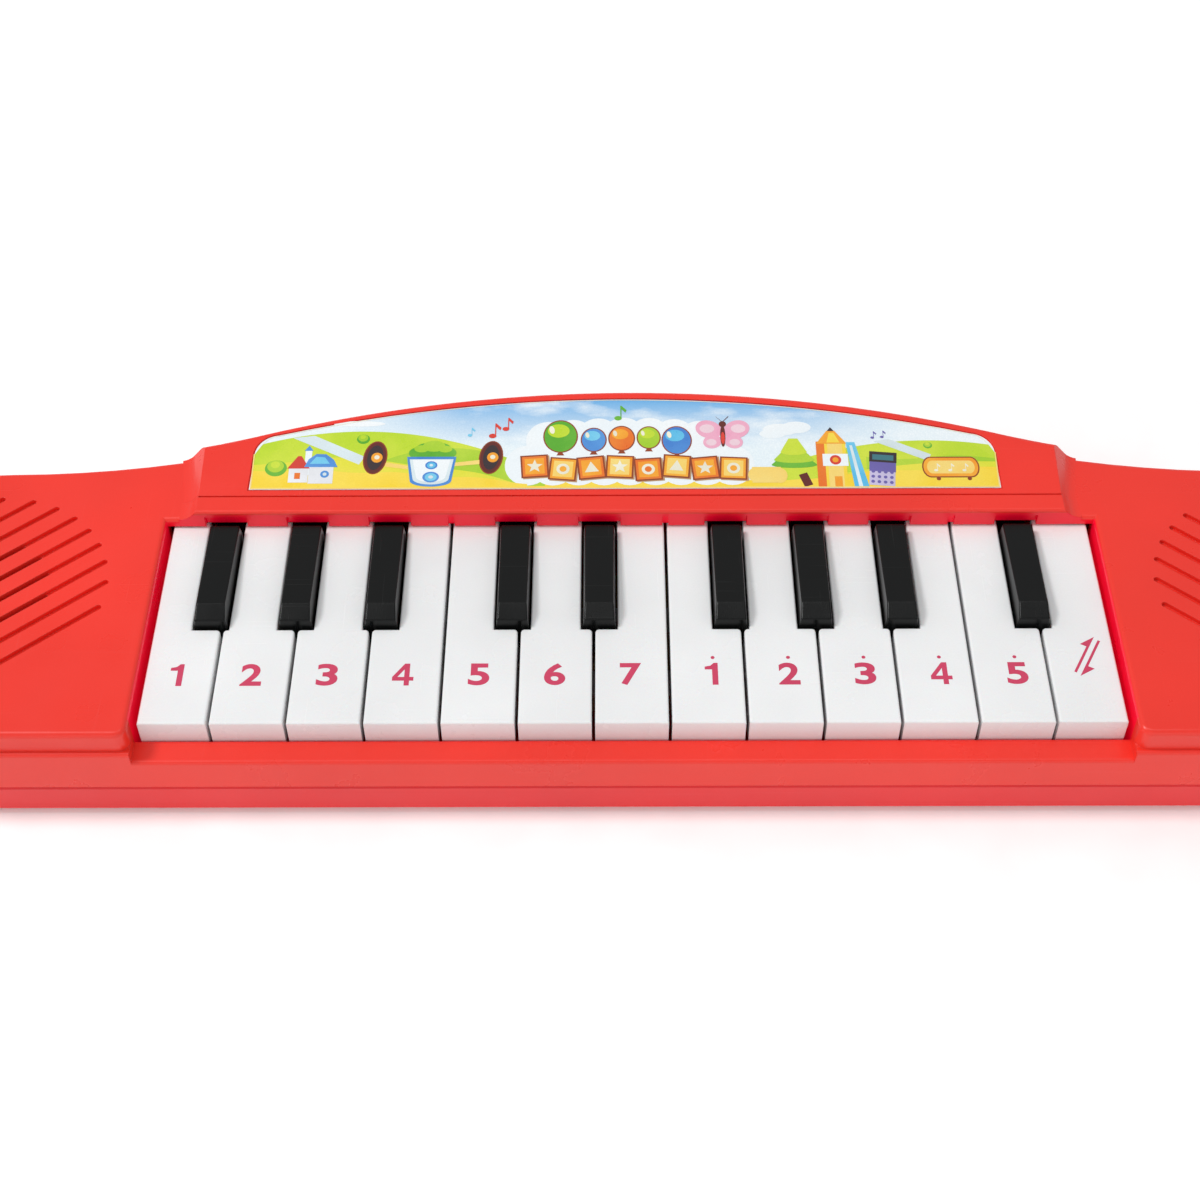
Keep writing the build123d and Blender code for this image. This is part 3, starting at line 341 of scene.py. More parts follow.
def painted_well_shade_and_glow(s, tone):
    """Painted shade and painted light on the key well walls: a deeper red for the shade, and a
    faint red emission for light bounced between the red walls.
    """
    split = s.node("ShaderNodeSeparateXYZ", Vector=s.coords)
    x, y, z = split.outputs
    first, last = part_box(WHITES[0])[0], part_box(WHITES[-1])[1]
    front, rear = first.y - WELL_FRONT, first.y + WELL_DEEP
    across = between(s, x, first.x - WELL_SIDE, last.x + WELL_SIDE)
    walls = s.maths("MULTIPLY", across, between(s, y, front, rear))
    across = between(s, x, first.x + RECESS_INSET, last.x - RECESS_INSET)
    recesses = s.maths("MULTIPLY", across, between(s, y, rear, rear + RECESS_DEEP))
    places = s.maths("MAXIMUM", walls, recesses)
    # painted shade and painted glow: deeper red and faint red emission on the well walls and
    # recesses
    painted_well_mask = s.maths("MULTIPLY", places, between(s, z, 0.0, WELL_HIGH))
    glow = s.maths("MULTIPLY", painted_well_mask, WELL_PAINTED_GLOW_STRENGTH)
    return s.mix(painted_well_mask, tone, WELL_PAINTED_SHADE_RED), {"Emission_Color": WELL_PAINTED_GLOW_COLOUR, "Emission_Strength": glow}


add_camera()
add_studio()
# the case plastic carries painted shade and a painted red glow on the walls of the key well
case_red = plastic("red_case_plastic", (0.86, 0.033, 0.019), rough=0.30, glow=0.04, scuff=0.12,
                   local=painted_well_shade_and_glow)
base_red = plastic("red_base_plastic", (0.82, 0.024, 0.027), rough=0.36, scuff=0.15, glow=0.04)
white = plastic("white_key_plastic", (0.85, 0.855, 0.86), rough=0.24, grain=0.12, scuff=0.1,
                glow=0.05)
black = plastic("black_key_plastic", (0.0045, 0.005, 0.005), rough=0.22, grain=0.2, scuff=0.12,
                ior=1.28)
dress(["top_case"], case_red)
dress(["bottom_case", "battery_door"], base_red)
dress(WHITES, white)
dress(BLACKS, black)
dress(["header_label"], sky_material())
dress(["key_pivot_rod", "case_screws", "board_screws", "speaker_screws", "battery_door_screw"],
      metal("zinc_steel", (0.60, 0.61, 0.62), 0.34))
dress(["speaker_frame", "power_switch"], metal("pressed_steel", (0.66, 0.64, 0.55), 0.38))
dress(["battery_contacts", "battery_springs"], metal("nickel", (0.74, 0.72, 0.68), 0.28))
dress(["speaker_magnet"], metal("ferrite", (0.07, 0.07, 0.075), 0.6))
dress(["speaker_cone"], painted("cone_paper", (0.035, 0.034, 0.033), 0.8, 500.0))
dress(["main_circuit_board"], board_material())
dress(["sound_chip"], plastic("chip_resin", (0.012, 0.012, 0.012), rough=0.22))
dress(["board_components"], plastic("component_body", (0.03, 0.03, 0.04), rough=0.4))
silicone = rubber("silicone", (0.55, 0.56, 0.54))
dress(["white_key_domes", "black_key_domes"], silicone)
dress(["rubber_feet"], rubber("foot_rubber", (0.025, 0.025, 0.026)))
dress(["speaker_clamp_ring", "switch_knob"],
      plastic("black_plastic", (0.015, 0.015, 0.016), rough=0.42))
dress(["batteries"], plastic("cell_jacket", (0.04, 0.10, 0.30), rough=0.25, coat=0.4))
dress(["speaker_leads", "battery_lead_positive"],
      plastic("red_wire", (0.60, 0.03, 0.02), rough=0.45))
dress(["battery_lead_negative", "switch_leads"],
      plastic("black_wire", (0.012, 0.012, 0.012), rough=0.45))


# ------------------------------------------------------------------ printed marks on the keys
def piece_from(name, points, faces, material, body, slot):
    """Makes a mesh piece that rides a body."""
    mesh = bpy.data.meshes.new(name)
    mesh.from_pydata(points, [], faces)
    mesh.update()
    piece = bpy.data.objects.new(name, mesh)
    scene.collection.objects.link(piece)
    piece.data.materials.append(material)
    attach(piece, body)
    return piece


# figures drawn as listed outlines, one unit high
ONE = [[(-0.30, 0.20), (-0.04, 0.20), (-0.04, -0.5), (0.17, -0.5), (0.17, 0.5), (0.03, 0.5),
        (-0.10, 0.37), (-0.30, 0.33)]]
FOUR = [
    [(-0.41, -0.28), (0.41, -0.28), (0.41, -0.11), (-0.41, -0.11)],
    [(0.05, -0.5), (0.25, -0.5), (0.25, -0.28), (0.05, -0.28)],
    [(0.05, -0.11), (0.25, -0.11), (0.25, 0.5), (0.05, 0.5)],
    [(-0.41, -0.11), (-0.21, -0.11), (0.05, 0.24), (0.05, 0.5)],
]


def glyph(character, bold):
    """Points, faces and width of a flat figure, one unit high and centred."""
    drawn = {"1": ONE, "4": FOUR}.get(character)
    if drawn:
        flat = [point for outline in drawn for point in outline]
        starts = [sum(len(o) for o in drawn[:k]) for k in range(len(drawn))]
        faces = [tuple(range(a, a + len(o))) for a, o in zip(starts, drawn)]
        return flat, faces, max(p[0] for p in flat) - min(p[0] for p in flat)
    curve = bpy.data.curves.new("glyph", "FONT")
    curve.body = character
    curve.offset = bold
    curve.resolution_u = 6
    holder = bpy.data.objects.new("glyph", curve)
    scene.collection.objects.link(holder)
    bpy.context.view_layer.update()
    graph = bpy.context.evaluated_depsgraph_get()
    mesh = bpy.data.meshes.new_from_object(holder.evaluated_get(graph))
    points = [v.co.copy() for v in mesh.vertices]
    faces = [tuple(p.vertices) for p in mesh.polygons]
    bpy.data.objects.remove(holder)
    bpy.data.meshes.remove(mesh)
    low = Vector((min(p.x for p in points), min(p.y for p in points)))
    high = Vector((max(p.x for p in points), max(p.y for p in points)))
    middle, tall = (low + high) / 2, high.y - low.y
    flat = [((p.x - middle.x) / tall, (p.y - middle.y) / tall) for p in points]
    return flat, faces, (high.x - low.x) / tall


def disc(x, y, rx, ry=None, count=20):
    """Outline of a circle or an ellipse."""
    ry = rx if ry is None else ry
    angles = [2 * math.pi * k / count for k in range(count)]
    return [(x + rx * math.cos(a), y + ry * math.sin(a)) for a in angles]


DIGIT_TALL = 5.9 * MM
DIGIT_WIDE = 4.5 * MM
DIGIT_FROM_FRONT = 12.8 * MM
NARROW = 0.5      # a figure with a smaller width than this is not stretched
GLYPH_BOLD = 0.028
OCTAVE = 7
FIRST_SHIFT = -0.2 * MM
LATER_SHIFT = 1.25 * MM
DOT_ABOVE = 4.4 * MM
DOT_RADIUS = 0.42 * MM
INK_LIFT = 0.015 * MM
# swap mark on the last key: two half-arrows side by side, set on the slant
HALF_ARROW = [(-4.2, 0.35), (2.0, 0.35), (2.0, 1.5), (4.6, -0.1), (-4.2, -0.1)]
ARROW_SLANT = math.radians(62)
ARROW_SCALE = 1.25
ARROW_GAP = 0.5
ARROW_UP = 4.5
crimson = ink("crimson_ink", (0.64, 0.045, 0.12), (0.60, 0.04, 0.11))
for n, node_name in enumerate(WHITES, start=1):
    low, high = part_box(node_name)
    shift = LATER_SHIFT if n > OCTAVE else FIRST_SHIFT
    x, y, z = (low.x + high.x) / 2 + shift, low.y + DIGIT_FROM_FRONT, high.z + INK_LIFT
    points, faces = [], []
    if n < len(WHITES):
        flat, faces, width = glyph(str((n - 1) % OCTAVE + 1), GLYPH_BOLD)
        stretch = DIGIT_WIDE / width if width > NARROW else DIGIT_TALL
        points = [(x + px * stretch, y + py * DIGIT_TALL, z) for px, py in flat]
        if n > OCTAVE:
            dot = disc(x, y + DOT_ABOVE, DOT_RADIUS)
            faces.append(tuple(range(len(points), len(points) + len(dot))))
            points += [(px, py, z) for px, py in dot]
    else:
        for flip in (1, -1):
            base = len(points)
            for ax, ay in HALF_ARROW:
                bx, by = ax * flip, (ay + ARROW_GAP) * flip
                px = (bx * math.cos(ARROW_SLANT) - by * math.sin(ARROW_SLANT)) * ARROW_SCALE
                py = (bx * math.sin(ARROW_SLANT) + by * math.cos(ARROW_SLANT)) * ARROW_SCALE
                points.append((x + px * MM, y + (py + ARROW_UP) * MM, z))
            faces.append(tuple(range(base, len(points))))
    piece_from("key_mark_%02d" % n, points, faces, crimson, node_name, "white_key_plastic")


# ------------------------------------------------------------------ silicone mats with domes
MAT_T = 0.8 * MM
MAT_CORNER = 1.5 * MM
# radius and height in mm up the side of a dome
DOME_PROFILE = ((3.0, 0.0), (2.95, 0.3), (2.2, 2.0), (1.9, 2.35), (1.5, 2.5))
DOME_SIDES = 24


def mat_outline(low, high):
    """Rounded rectangle in plan between two corners."""
    corners = ((high.x, high.y, 0), (low.x, high.y, 90), (low.x, low.y, 180), (high.x, low.y, 270))
    middle = (low + high) / 2
    outline = []
    for x, y, start in corners:
        cx = x - math.copysign(MAT_CORNER, x - middle.x)
        cy = y - math.copysign(MAT_CORNER, y - middle.y)
        for step in range(7):
            angle = math.radians(start + 15 * step)
            outline.append((cx + MAT_CORNER * math.cos(angle), cy + MAT_CORNER * math.sin(angle)))
    return outline


def lofted(rings):
    """Points and faces of a closed form through rings with equal numbers of points."""
    points = [point for ring in rings for point in ring]
    count = len(rings[0])
    faces = [tuple(range(count - 1, -1, -1)), tuple(range(len(points) - count, len(points)))]
    for level in range(len(rings) - 1):
        for k in range(count):
            a, b = level * count + k, level * count + (k + 1) % count
            faces.append((a, b, b + count, a + count))
    return points, faces


def key_mat(node_name, keys):
    """A mat on the board in place of the CAD node, and a dome on it under each key."""
    low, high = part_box(node_name)
    outline = mat_outline(low, high)
    rings = [[(x, y, z) for x, y in outline] for z in (low.z, low.z + MAT_T)]
    mat = piece_from(node_name + "_mat", *lofted(rings), silicone, "case", "contact_rubber")
    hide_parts(node_name)
    for key in keys:
        key_low, key_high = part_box(key)
        x, y, z = (key_low.x + key_high.x) / 2, (low.y + high.y) / 2, low.z + MAT_T
        rings = []
        for radius, tall in DOME_PROFILE:
            circle = disc(x, y, radius * MM, count=DOME_SIDES)
            rings.append([(px, py, z + tall * MM) for px, py in circle])
        dome = piece_from(key + "_dome", *lofted(rings), silicone, "case", "contact_rubber")
        for polygon in dome.data.polygons:
            polygon.use_smooth = len(polygon.vertices) == 4
        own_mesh(dome)


key_mat("white_key_domes", WHITES)
key_mat("black_key_domes", BLACKS)


# ------------------------------------------------------------------ printed picture on the label
# u runs along the label from its middle, v up it from the crease, both in mm
LABEL_TILT = math.radians(8.5)
LABEL_T = 0.25
LABEL_HALF = 84.4
FOOT_V = 2.1
# the arched upper edge: an arc that falls to a shoulder, then a curve down to each end
ARC_TOP = 27.5
SHOULDER_V = 17.3
SHOULDER_U = 79.3
END_DROP = 5.3
END_CURVE = 2.2
# lift of the print off the label and between its layers, and the small steps within a layer
FIRST_LIFT = 0.006
LAYER = 0.008
SUBLAYERS = 20
SUBLAYER_SHARE = 0.9
BAND_STEPS = 90
TOP_GAP = 0.15
FOOT_GAP = 0.2
# feet of the hills, of the sand and of the border, and the border's place
HILL_FOOT = 2.9
SAND_FOOT = 2.5
BORDER_FOOT = 2.2
BORDER_TOP = 2.55
BORDER_U = 84.6
label_low, label_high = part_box("header_label")
foot_middle = Vector(((label_low.x + label_high.x) / 2, label_low.y, label_low.z))
ORIGIN = foot_middle + LABEL_T * MM * Vector((0, 0, math.cos(LABEL_TILT)))
ALONG = Vector((0, math.cos(LABEL_TILT), math.sin(LABEL_TILT)))
UP = Vector((0, -math.sin(LABEL_TILT), math.cos(LABEL_TILT)))
PICTURE = []


def on_label(u, v, layer):
    """Point on the label at u and v, lifted by its print layer."""
    flat = ORIGIN + Vector((u * MM, 0, 0)) + ALONG * (v - FOOT_V) * MM
    return flat + UP * (FIRST_LIFT + LAYER * layer) * MM


def arch_v(u):
    """Upper edge of the label at u."""
    rise = ARC_TOP - SHOULDER_V
    radius = (SHOULDER_U**2 + rise**2) / (2 * rise)
    if abs(u) <= SHOULDER_U:
        return ARC_TOP - radius + math.sqrt(radius**2 - u**2)
    over = (abs(u) - SHOULDER_U) / (LABEL_HALF - SHOULDER_U)
    return SHOULDER_V - END_DROP * over**END_CURVE


def paint(colour, layer, *outlines):
    """Adds printed outlines; each gets its own small lift, so that none lies in another's plane."""
    for outline in outlines:
        lift = SUBLAYER_SHARE * (len(PICTURE) % SUBLAYERS) / SUBLAYERS
        PICTURE.append((colour, layer + lift, outline))


def band(left, right, foot, top):
    """Outline from a foot line up to a curve of u, kept on the label."""
    us = [left + (right - left) * k / BAND_STEPS for k in range(BAND_STEPS + 1)]
    upper = [(u, max(foot, min(top(u), arch_v(u) - TOP_GAP))) for u in us]
    lower = [(u, min(foot, arch_v(u) - FOOT_GAP)) for u in us]
    return lower + upper[::-1]


def box_outline(u, v, wide, tall):
    """Rectangle that stands on v with its middle at u."""
    left, right = u - wide / 2, u + wide / 2
    return [(left, v), (right, v), (right, v + tall), (left, v + tall)]


def bowl(u, v, wide, tall):
    """Lower half of an ellipse, from its left end to its right end."""
    angles = [math.radians(180 + 15 * k) for k in range(13)]
    return [(u + wide * math.cos(a), v + tall * math.sin(a)) for a in angles]


def note(u, v, size, colour, layer):
    """A quaver."""
    stem = [(0.30, 0.0), (0.44, 0.0), (0.44, 2.0), (0.30, 2.0)]
    flag = [(0.44, 2.0), (1.1, 1.3), (0.95, 0.9), (0.44, 1.45)]
    paint(colour, layer, disc(u, v, 0.48 * size, 0.36 * size),
          *[[(u + x * size, v + y * size) for x, y in outline] for outline in (stem, flag)])


def loudspeaker(u, v):
    """Tall oval loudspeaker that leans a little."""
    for colour, layer, wide, tall in (("outline", 5, 2.75, 4.7), ("brown", 6, 2.45, 4.4),
                                      ("dark", 7, 1.8, 3.5)):
        paint(colour, layer, lean(disc(u, v, wide, tall, 28), u, v, -6))
    paint("orange", 8, disc(u + 0.4, v, 1.3, 1.4))
    paint("cream", 9, disc(u + 0.4, v + 0.1, 0.6))


def lean(outline, u, v, degrees):
    """Outline turned about (u, v)."""
    c, s = math.cos(math.radians(degrees)), math.sin(math.radians(degrees))
    return [(u + (x - u) * c - (y - v) * s, v + (x - u) * s + (y - v) * c) for x, y in outline]


def balloon(u, v, size, colour, tint):
    """Balloon with a knot, a lighter patch and a highlight."""
    knot = v - 1.22 * size
    paint("outline", 6, disc(u, v, size + 0.3, 1.18 * size + 0.3, 30))
    paint("outline", 6, [(u - 0.9, knot - 0.9), (u + 0.9, knot - 0.9), (u, knot + 0.8)])
    paint(colour, 7, disc(u, v, size, 1.18 * size, 30))
    paint(tint, 8, disc(u - 0.12 * size, v + 0.42 * size, 0.68 * size, 0.52 * size, 24))
    highlight = disc(u - 0.42 * size, v + 0.6 * size, 0.16 * size, 0.3 * size)
    paint("cream", 9, lean(highlight, u, v, 12))


def play_block(u, v, colour, tint, turned, shape):
    """Play block with a shadow and a plain shape on its face."""
    paint("shade", 5, lean(box_outline(u + 0.35, v - 3.45, 6.3, 6.3), u, v, turned))
    paint("outline", 6, lean(box_outline(u, v - 3.15, 6.3, 6.3), u, v, turned))
    paint(colour, 7, lean(box_outline(u, v - 2.75, 5.5, 5.5), u, v, turned))
    paint(tint, 8, lean(box_outline(u, v - 2.2, 4.4, 4.4), u, v, turned))
    if shape == "star":
        spikes = [(1.9 if k % 2 == 0 else 0.8, math.radians(90 + 36 * k)) for k in range(10)]
        paint("cream", 9, [(u + far * math.cos(a), v + far * math.sin(a)) for far, a in spikes])
    elif shape == "round":
        paint("cream", 9, disc(u, v, 1.5))
        paint(colour, 10, disc(u, v, 0.8))
    else:
        peak = [(u - 1.6, v - 1.2), (u + 1.6, v - 1.2), (u, v + 1.7)]
        paint("cream", 9, lean(peak, u, v, turned))


def tree(u, v, size, layer=4):
    """Round tree of three tones of leaf."""
    for step, (tone, up, wide) in enumerate((("leaf", 0.0, 1.0), ("moss", 0.22, 0.76),
                                             ("lime", 0.4, 0.42))):
        crown = disc(u - 0.2 * up * size, v + up * size, wide * size, 0.9 * wide * size, 24)
        paint(tone, layer + step, crown)


# hills, ground and the rays of light over them. A hill gives its colour, layer, two ends, foot and
# upper curve; a ray gives its colour, layer and outline.
HILLS = (
    ("lime", 1, -LABEL_HALF, -14, HILL_FOOT, lambda u: 18.4 - 0.0068 * (u + 60) ** 2),
    ("moss", 2, -62, -18, HILL_FOOT, lambda u: 13.6 - 0.016 * (u + 40) ** 2),
    ("meadow", 3, -LABEL_HALF, -20, HILL_FOOT,
     lambda u: 10.6 - 0.0042 * (u + 66) ** 2 + 0.5 * math.cos(u / 5)),
    ("haze", 3, ((-76.0, 16.6), (-71.0, 17.2), (-59.2, 11.2), (-60.4, 9.0))),
    ("lime", 1, 31, LABEL_HALF, HILL_FOOT, lambda u: 15.4 - 0.0062 * (u - 69) ** 2),
    ("moss", 2, 55, LABEL_HALF, HILL_FOOT, lambda u: 10.6 + 0.5 * math.cos(u / 4.0)),
    ("meadow", 3, 40, LABEL_HALF, HILL_FOOT, lambda u: 9.4 - 0.0035 * (u - 80) ** 2),
    ("haze", 3, ((57.0, 15.2), (60.5, 15.8), (69.8, 11.4), (69.0, 9.6))),
    ("sun", 4, -LABEL_HALF, -22, SAND_FOOT,
     lambda u: 7.4 - 0.0011 * (u + 80) ** 2 + 0.3 * math.sin(u / 3.0)),
    ("sun", 4, 40, LABEL_HALF, SAND_FOOT,
     lambda u: 7.6 - 0.0017 * (u - 82) ** 2 + 0.3 * math.sin(u / 4.0)),
    ("sun", 1, -24, 42, SAND_FOOT, lambda u: 4.4 + 0.3 * math.sin(u / 3.0)),
)
for colour, layer, *shape in HILLS:
    paint(colour, layer, list(shape[0]) if len(shape) == 1 else band(*shape))
paint("gold", 5, box_outline(32.2, 3.6, 6.6, 4.4), disc(29.6, 5.8, 1.6, 2.0),
      disc(35.2, 5.6, 1.7, 2.1))
# white glow behind the middle, and two clouds
for k in range(9):
    paint("cloud", 2, disc(-22.0 + 5.8 * k, 8.6, 5.2, 5.6, 28))
for k in range(7):
    paint("cloud", 2, disc(-17.5 + 5.8 * k, 15.6 + 1.2 * math.sin(0.5 * k), 5.0, 5.4, 28))
for u, v, wide, tall in ((36.0, 18.6, 4.2, 1.7), (39.5, 19.2, 3.4, 1.7), (34.0, 17.4, 3.0, 1.3),
                         (-61.0, 20.6, 6.0, 0.8)):
    paint("cloud", 1, disc(u, v, wide, tall, 24))
# border line
paint("gold", 6, band(-BORDER_U, BORDER_U, BORDER_FOOT, lambda u: BORDER_TOP))
for side in (-1, 1):
    left, right = sorted((side * BORDER_U, side * 84.3))
    paint("gold", 6, [(left, 2.3), (right, 2.3), (right, 12.0), (left, 12.0)])
outer = [(u, arch_v(u) - 0.12) for u in range(-84, 85)]
inner = [(u, arch_v(u) - 0.3) for u in range(84, -85, -1)]
paint("cream", 6, outer + inner)
# left: cottages with a red and a blue roof, trees, and two loudspeakers beside a bucket
tree(-79.2, 8.0, 2.5)
tree(-59.8, 16.2, 1.5, 3)
paint("white", 7, box_outline(-74.0, 4.0, 4.4, 4.6), box_outline(-68.9, 3.7, 5.6, 5.4))
paint("cloud", 6, box_outline(-72.0, 6.0, 1.5, 7.2))
paint("blue", 7, [(-73.0, 12.9), (-71.0, 12.9), (-72.0, 14.4)])
paint("red", 8, [(-76.6, 7.9), (-71.5, 7.9), (-73.6, 11.4), (-74.4, 11.4)])
paint("rust", 9, box_outline(-74.2, 5.0, 1.3, 1.7))
paint("blue", 8, [(-72.8, 8.3), (-65.2, 8.3), (-66.2, 10.4), (-68.0, 11.9), (-70.2, 12.0),
                  (-71.9, 10.5)])
paint("aqua", 9, [(-71.6, 9.2), (-67.0, 9.2), (-68.2, 11.0), (-70.2, 11.2)])
paint("blue", 9, disc(-68.0, 6.3, 1.0))
paint("haze", 10, disc(-68.0, 6.3, 0.45))
paint("gold", 5, [(-54.5, 8.4), (-49.2, 7.6), (-49.2, 8.6), (-54.5, 9.6)])
paint("gold", 5, [(-39.0, 8.4), (-33.0, 9.0), (-33.0, 10.2), (-39.0, 9.4)])
loudspeaker(-56.8, 10.9)
loudspeaker(-30.4, 10.9)
BUCKET_U = -43.9
BUSH_U = -43.7
for colour, layer, wide, foot, rim_v in (("blue", 7, 5.6, 2.75, 11.1), ("haze", 8, 5.0, 3.35, 10.4),
                                         ("cloud", 9, 4.3, 4.0, 10.2)):
    curve = bowl(BUCKET_U, foot + 1.6, wide - 0.9, 1.6)
    paint(colour, layer, curve + [(BUCKET_U + wide, rim_v), (BUCKET_U - wide, rim_v)])
for v, wide, tall in ((8.7, 1.4, 1.15), (5.4, 1.9, 1.5)):
    paint("blue", 10, disc(BUCKET_U, v, wide, tall))
    paint("aqua", 11, disc(BUCKET_U, v, wide * 0.72, tall * 0.72))
    paint("haze", 12, disc(BUCKET_U, v, wide * 0.3, tall * 0.3))
for du, dv, wide in ((-3.4, 0, 2.1), (0, 0.8, 3.2), (3.3, 0, 2.1), (-1.6, 1.0, 2.4),
                     (1.8, 1.0, 2.4)):
    paint("leaf", 4, disc(BUSH_U + du, 12.2 + dv, wide, 0.75 * wide))
for du, dv, wide in ((-2.6, 1.0, 1.7), (0.2, 1.7, 2.6), (2.8, 0.9, 1.6)):
    paint("moss", 5, disc(BUSH_U + du, 12.4 + dv, wide, 0.6 * wide))
for u, v, size, colour in ((-35.4, 17.2, 1.1, "aqua"), (-30.2, 17.0, 1.8, "red"),
                           (-27.2, 19.0, 1.6, "red"), (-1.4, 22.0, 1.8, "leaf"),
                           (56.8, 16.2, 0.9, "violet"), (59.0, 16.4, 0.9, "violet")):
    note(u, v, size, colour, 6)
# middle: a row of balloons over coloured play blocks
for details in ((-14.6, 16.8, 3.7, "leaf", "lime"), (-7.0, 15.8, 2.7, "blue", "aqua"),
                (-0.6, 16.2, 2.8, "rust", "orange"), (5.6, 16.4, 2.5, "moss", "lime"),
                (12.0, 15.6, 3.2, "blue", "aqua")):
    balloon(*details)
for k in range(8):
    u, v = -20.4 + 6.45 * k, 7.9 + 0.45 * math.cos(2.4 * k)
    tones = (("rust", "orange"), ("orange", "gold"))[k % 2]
    play_block(u, v, *tones, (4, -5, 6, -3)[k % 4], ("star", "round", "peak")[k % 3])
# butterfly beside the balloons
BUTTERFLY = (22.6, 17.0)
WING_LEAN = 24
for du, dv, wide, tall in ((-3.2, 1.7, 3.1, 2.5), (3.2, 1.7, 3.1, 2.5), (-2.4, -1.8, 2.2, 1.9),
                           (2.4, -1.8, 2.2, 1.9)):
    u, v = BUTTERFLY[0] + du, BUTTERFLY[1] + dv
    spread = WING_LEAN if du * dv > 0 else -WING_LEAN
    paint("pink", 5, lean(disc(u, v, wide, tall, 24), u, v, spread))
    paint("blush", 6, disc(u + 0.12 * du, v + 0.12 * dv, wide * 0.55, tall * 0.5))
u, v = BUTTERFLY
paint("brown", 7, disc(u, v - 0.2, 0.6, 3.1))
paint("red", 8, disc(u, v - 0.8, 0.45, 1.7))
paint("brown", 7, disc(u, v + 3.2, 0.85))
for side in (-1, 1):
    tip = u + 1.5 * side
    paint("brown", 7, [(u - 0.1, v + 3.8), (u + 0.1, v + 3.8), (tip, v + 5.4),
                       (tip - 0.15, v + 5.5)])
# right: a layered tree, a tower, a box of buttons and a plaque with notes
FIR_U = 38.6
for tone, layer, foot, half, tip in (("leaf", 4, 8.6, 5.2, 13.0), ("moss", 5, 10.0, 4.6, 14.2),
                                     ("lime", 6, 12.2, 3.0, 16.0)):
    paint(tone, layer, bowl(FIR_U, foot, half, 0.9) + [(FIR_U + 1, tip), (FIR_U - 1, tip)])
paint("brown", 6, lean(box_outline(41.0, 2.6, 2.0, 3.6), 41.0, 4.4, 20))
paint("sun", 6, box_outline(47.4, 2.5, 6.2, 12.3))
paint("rust", 7, box_outline(44.7, 2.5, 1.9, 12.6))
paint("gold", 7, box_outline(48.0, 2.5, 3.4, 12.0))
paint("orange", 8, [(43.8, 14.5), (50.8, 14.5), (48.2, 18.2), (46.4, 18.2)])
paint("sun", 9, [(46.2, 14.8), (49.2, 14.8), (48.0, 17.6), (46.9, 17.6)])
paint("dark", 9, [(46.5, 18.1), (48.1, 18.1), (47.3, 19.2)])
paint("cloud", 9, box_outline(48.0, 8.2, 5.8, 3.4))
paint("red", 10, disc(48.0, 9.9, 1.3, 1.35))
paint("orange", 11, disc(48.0, 9.9, 0.7))
paint("orange", 9, box_outline(48.4, 2.5, 1.7, 2.8))
paint("aqua", 8, [(51.9, 2.5), (55.2, 2.5), (52.6, 14.9), (50.6, 14.9)])
paint("haze", 9, [(52.9, 2.5), (53.8, 2.5), (52.0, 14.0), (51.4, 14.0)])
BUTTONS_U = 58.4
BUTTONS_LEAN = (BUTTONS_U, 6.0, -5)      # point it turns about, and the angle
BUTTON_GAP = 1.4
for colour, layer, v, wide, tall in (("lilac", 7, 2.7, 5.8, 5.4), ("violet", 7, 6.6, 6.0, 2.6),
                                     ("dark", 8, 9.2, 6.2, 2.9), ("teal", 9, 9.8, 4.8, 1.5)):
    paint(colour, layer, lean(box_outline(BUTTONS_U, v, wide, tall), *BUTTONS_LEAN))
for row in range(3):
    for column in range(4):
        button = disc(56.3 + BUTTON_GAP * column, 3.7 + BUTTON_GAP * row, 0.42)
        paint("violet", 9, lean(button, *BUTTONS_LEAN))
PLAQUE_U = 74.0
PLAQUE_V = 7.8
# colour, layer, foot, width and height of the middle, and place and radii of the rounded ends
for colour, layer, foot, wide, tall, end, rx, ry in (
        ("outline", 7, 4.9, 9.6, 5.8, 4.6, 1.9, 2.9), ("orange", 8, 5.2, 9.4, 5.2, 4.5, 1.7, 2.6),
        ("gold", 9, 6.0, 8.8, 3.6, 4.2, 1.2, 1.8)):
    paint(colour, layer, box_outline(PLAQUE_U, foot, wide, tall),
          disc(PLAQUE_U - end, PLAQUE_V, rx, ry), disc(PLAQUE_U + end, PLAQUE_V, rx, ry))
for u in (70.6, 73.8, 77.0):
    note(u, 6.9, 0.95, "cream", 10)
paint("outline", 6, disc(71.0, 4.6, 0.5), disc(78.0, 4.6, 0.5))
tree(69.3, 14.0, 1.0, 3)

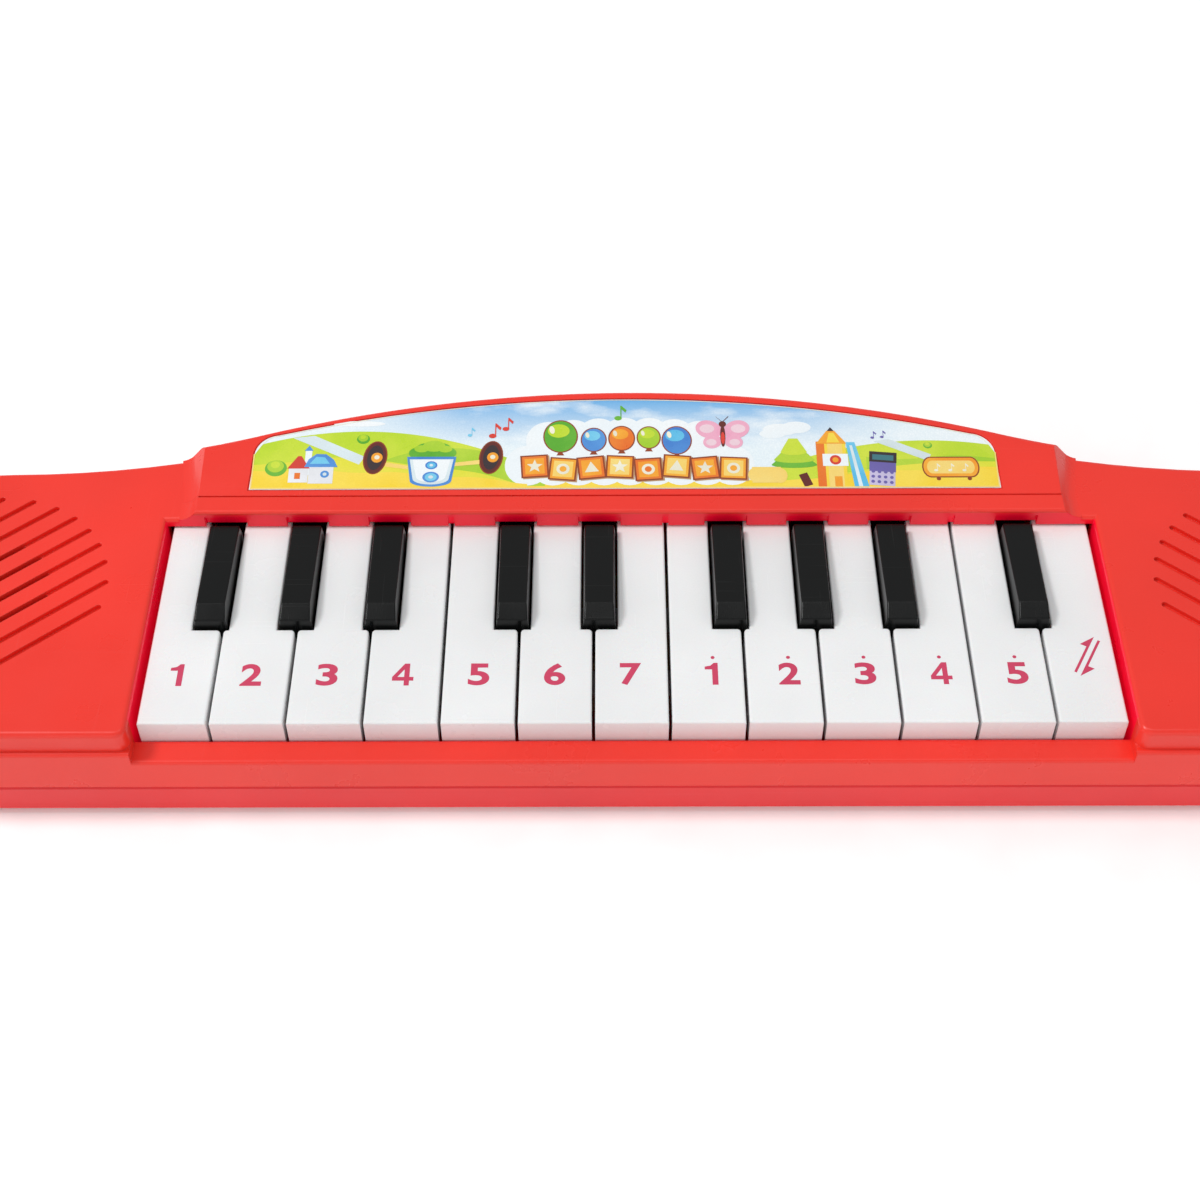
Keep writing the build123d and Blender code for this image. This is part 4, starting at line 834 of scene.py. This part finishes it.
# each ink's two colours; an ink without a second colour takes a darker first
INKS = {
    "haze": ((0.74, 0.86, 0.90), None),
    "cloud": ((0.90, 0.94, 0.96), (0.84, 0.91, 0.95)),
    "lime": ((0.50, 0.70, 0.02), (0.64, 0.76, 0.05)),
    "meadow": ((0.72, 0.74, 0.03), (0.82, 0.75, 0.06)),
    "moss": ((0.36, 0.62, 0.02), (0.48, 0.68, 0.04)),
    "leaf": ((0.09, 0.40, 0.02), (0.17, 0.50, 0.04)),
    "sun": ((0.93, 0.66, 0.03), (0.94, 0.72, 0.08)),
    "gold": ((0.93, 0.72, 0.22), (0.93, 0.62, 0.12)),
    "cream": ((0.93, 0.90, 0.72), None),
    "white": ((0.88, 0.90, 0.94), None),
    "blue": ((0.05, 0.21, 0.62), (0.09, 0.31, 0.72)),
    "aqua": ((0.10, 0.50, 0.80), (0.20, 0.62, 0.85)),
    "red": ((0.74, 0.05, 0.03), None),
    "rust": ((0.80, 0.14, 0.01), (0.84, 0.22, 0.02)),
    "orange": ((0.90, 0.30, 0.01), (0.92, 0.42, 0.03)),
    "brown": ((0.13, 0.015, 0.01), None),
    "dark": ((0.035, 0.02, 0.025), None),
    "outline": ((0.30, 0.05, 0.01), None),
    "shade": ((0.55, 0.32, 0.16), None),
    "pink": ((0.86, 0.38, 0.54), (0.88, 0.52, 0.64)),
    "blush": ((0.90, 0.66, 0.74), None),
    "violet": ((0.16, 0.13, 0.44), None),
    "lilac": ((0.62, 0.56, 0.80), None),
    "teal": ((0.05, 0.20, 0.24), None),
}
for colour, (first, second) in INKS.items():
    points, faces = [], []
    for name, layer, outline in PICTURE:
        if name == colour:
            faces.append(tuple(range(len(points), len(points) + len(outline))))
            points += [on_label(u, v, layer) for u, v in outline]
    print_ink = ink("print_" + colour, first, second)
    piece_from("label_print_" + colour, points, faces, print_ink, "case", "printed_label")


# ------------------------------------------------------------------ moulded marks on the underside
RAISED = 0.18 * MM
SUNK = 0.1 * MM
MARK_EDGE = 0.06 * MM


def moulded_mark(name, outlines, face_z):
    """Low relief on the underside, made of closed outlines in metres."""
    points, faces = [], []
    for outline in outlines:
        base, count = len(points), len(outline)
        points += [(x, y, face_z + SUNK) for x, y in outline]
        points += [(x, y, face_z - RAISED) for x, y in outline]
        faces.append(tuple(range(base, base + count)))
        faces.append(tuple(range(base + 2 * count - 1, base + count - 1, -1)))
        for k in range(count):
            after = (k + 1) % count
            faces.append((base + after, base + k, base + count + k, base + count + after))
    piece = piece_from(name, points, faces, base_red, "case", "lower_case_plastic")
    smooth = piece.modifiers.new("edge", "BEVEL")
    smooth.width = MARK_EDGE
    smooth.segments = 2


def bar_mark(x, y, wide, tall):
    """Rectangle with its middle at (x, y)."""
    return box_outline(x, y - tall / 2, wide, tall)


door_low, door_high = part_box("battery_door")
door_y = (door_low.y + door_high.y) / 2
door_marks = [bar_mark(door_low.x + (14.0 + 2.4 * k) * MM, door_y, 1.0 * MM, (18.0 - 2.0 * k) * MM)
              for k in range(6)]
arrow_x = door_low.x + 40.0 * MM
DOOR_ARROW = ((-5, -1.2), (2, -1.2), (2, -3.4), (6.5, 0), (2, 3.4), (2, 1.2), (-5, 1.2))
door_marks.append([(arrow_x + x * MM, door_y + y * MM) for x, y in DOOR_ARROW])
moulded_mark("door_marks", door_marks, door_low.z)
knob_low, knob_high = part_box("switch_knob")
knob_x, knob_y = (knob_low.x + knob_high.x) / 2, (knob_low.y + knob_high.y) / 2
# an upright bar beyond one end of the slot and a dash beyond the other
switch_marks = [bar_mark(knob_x + 8.5 * MM, knob_y, 0.7 * MM, 3.2 * MM),
                bar_mark(knob_x - 5.5 * MM, knob_y, 2.2 * MM, 0.7 * MM)]
moulded_mark("switch_marks", switch_marks, door_low.z)
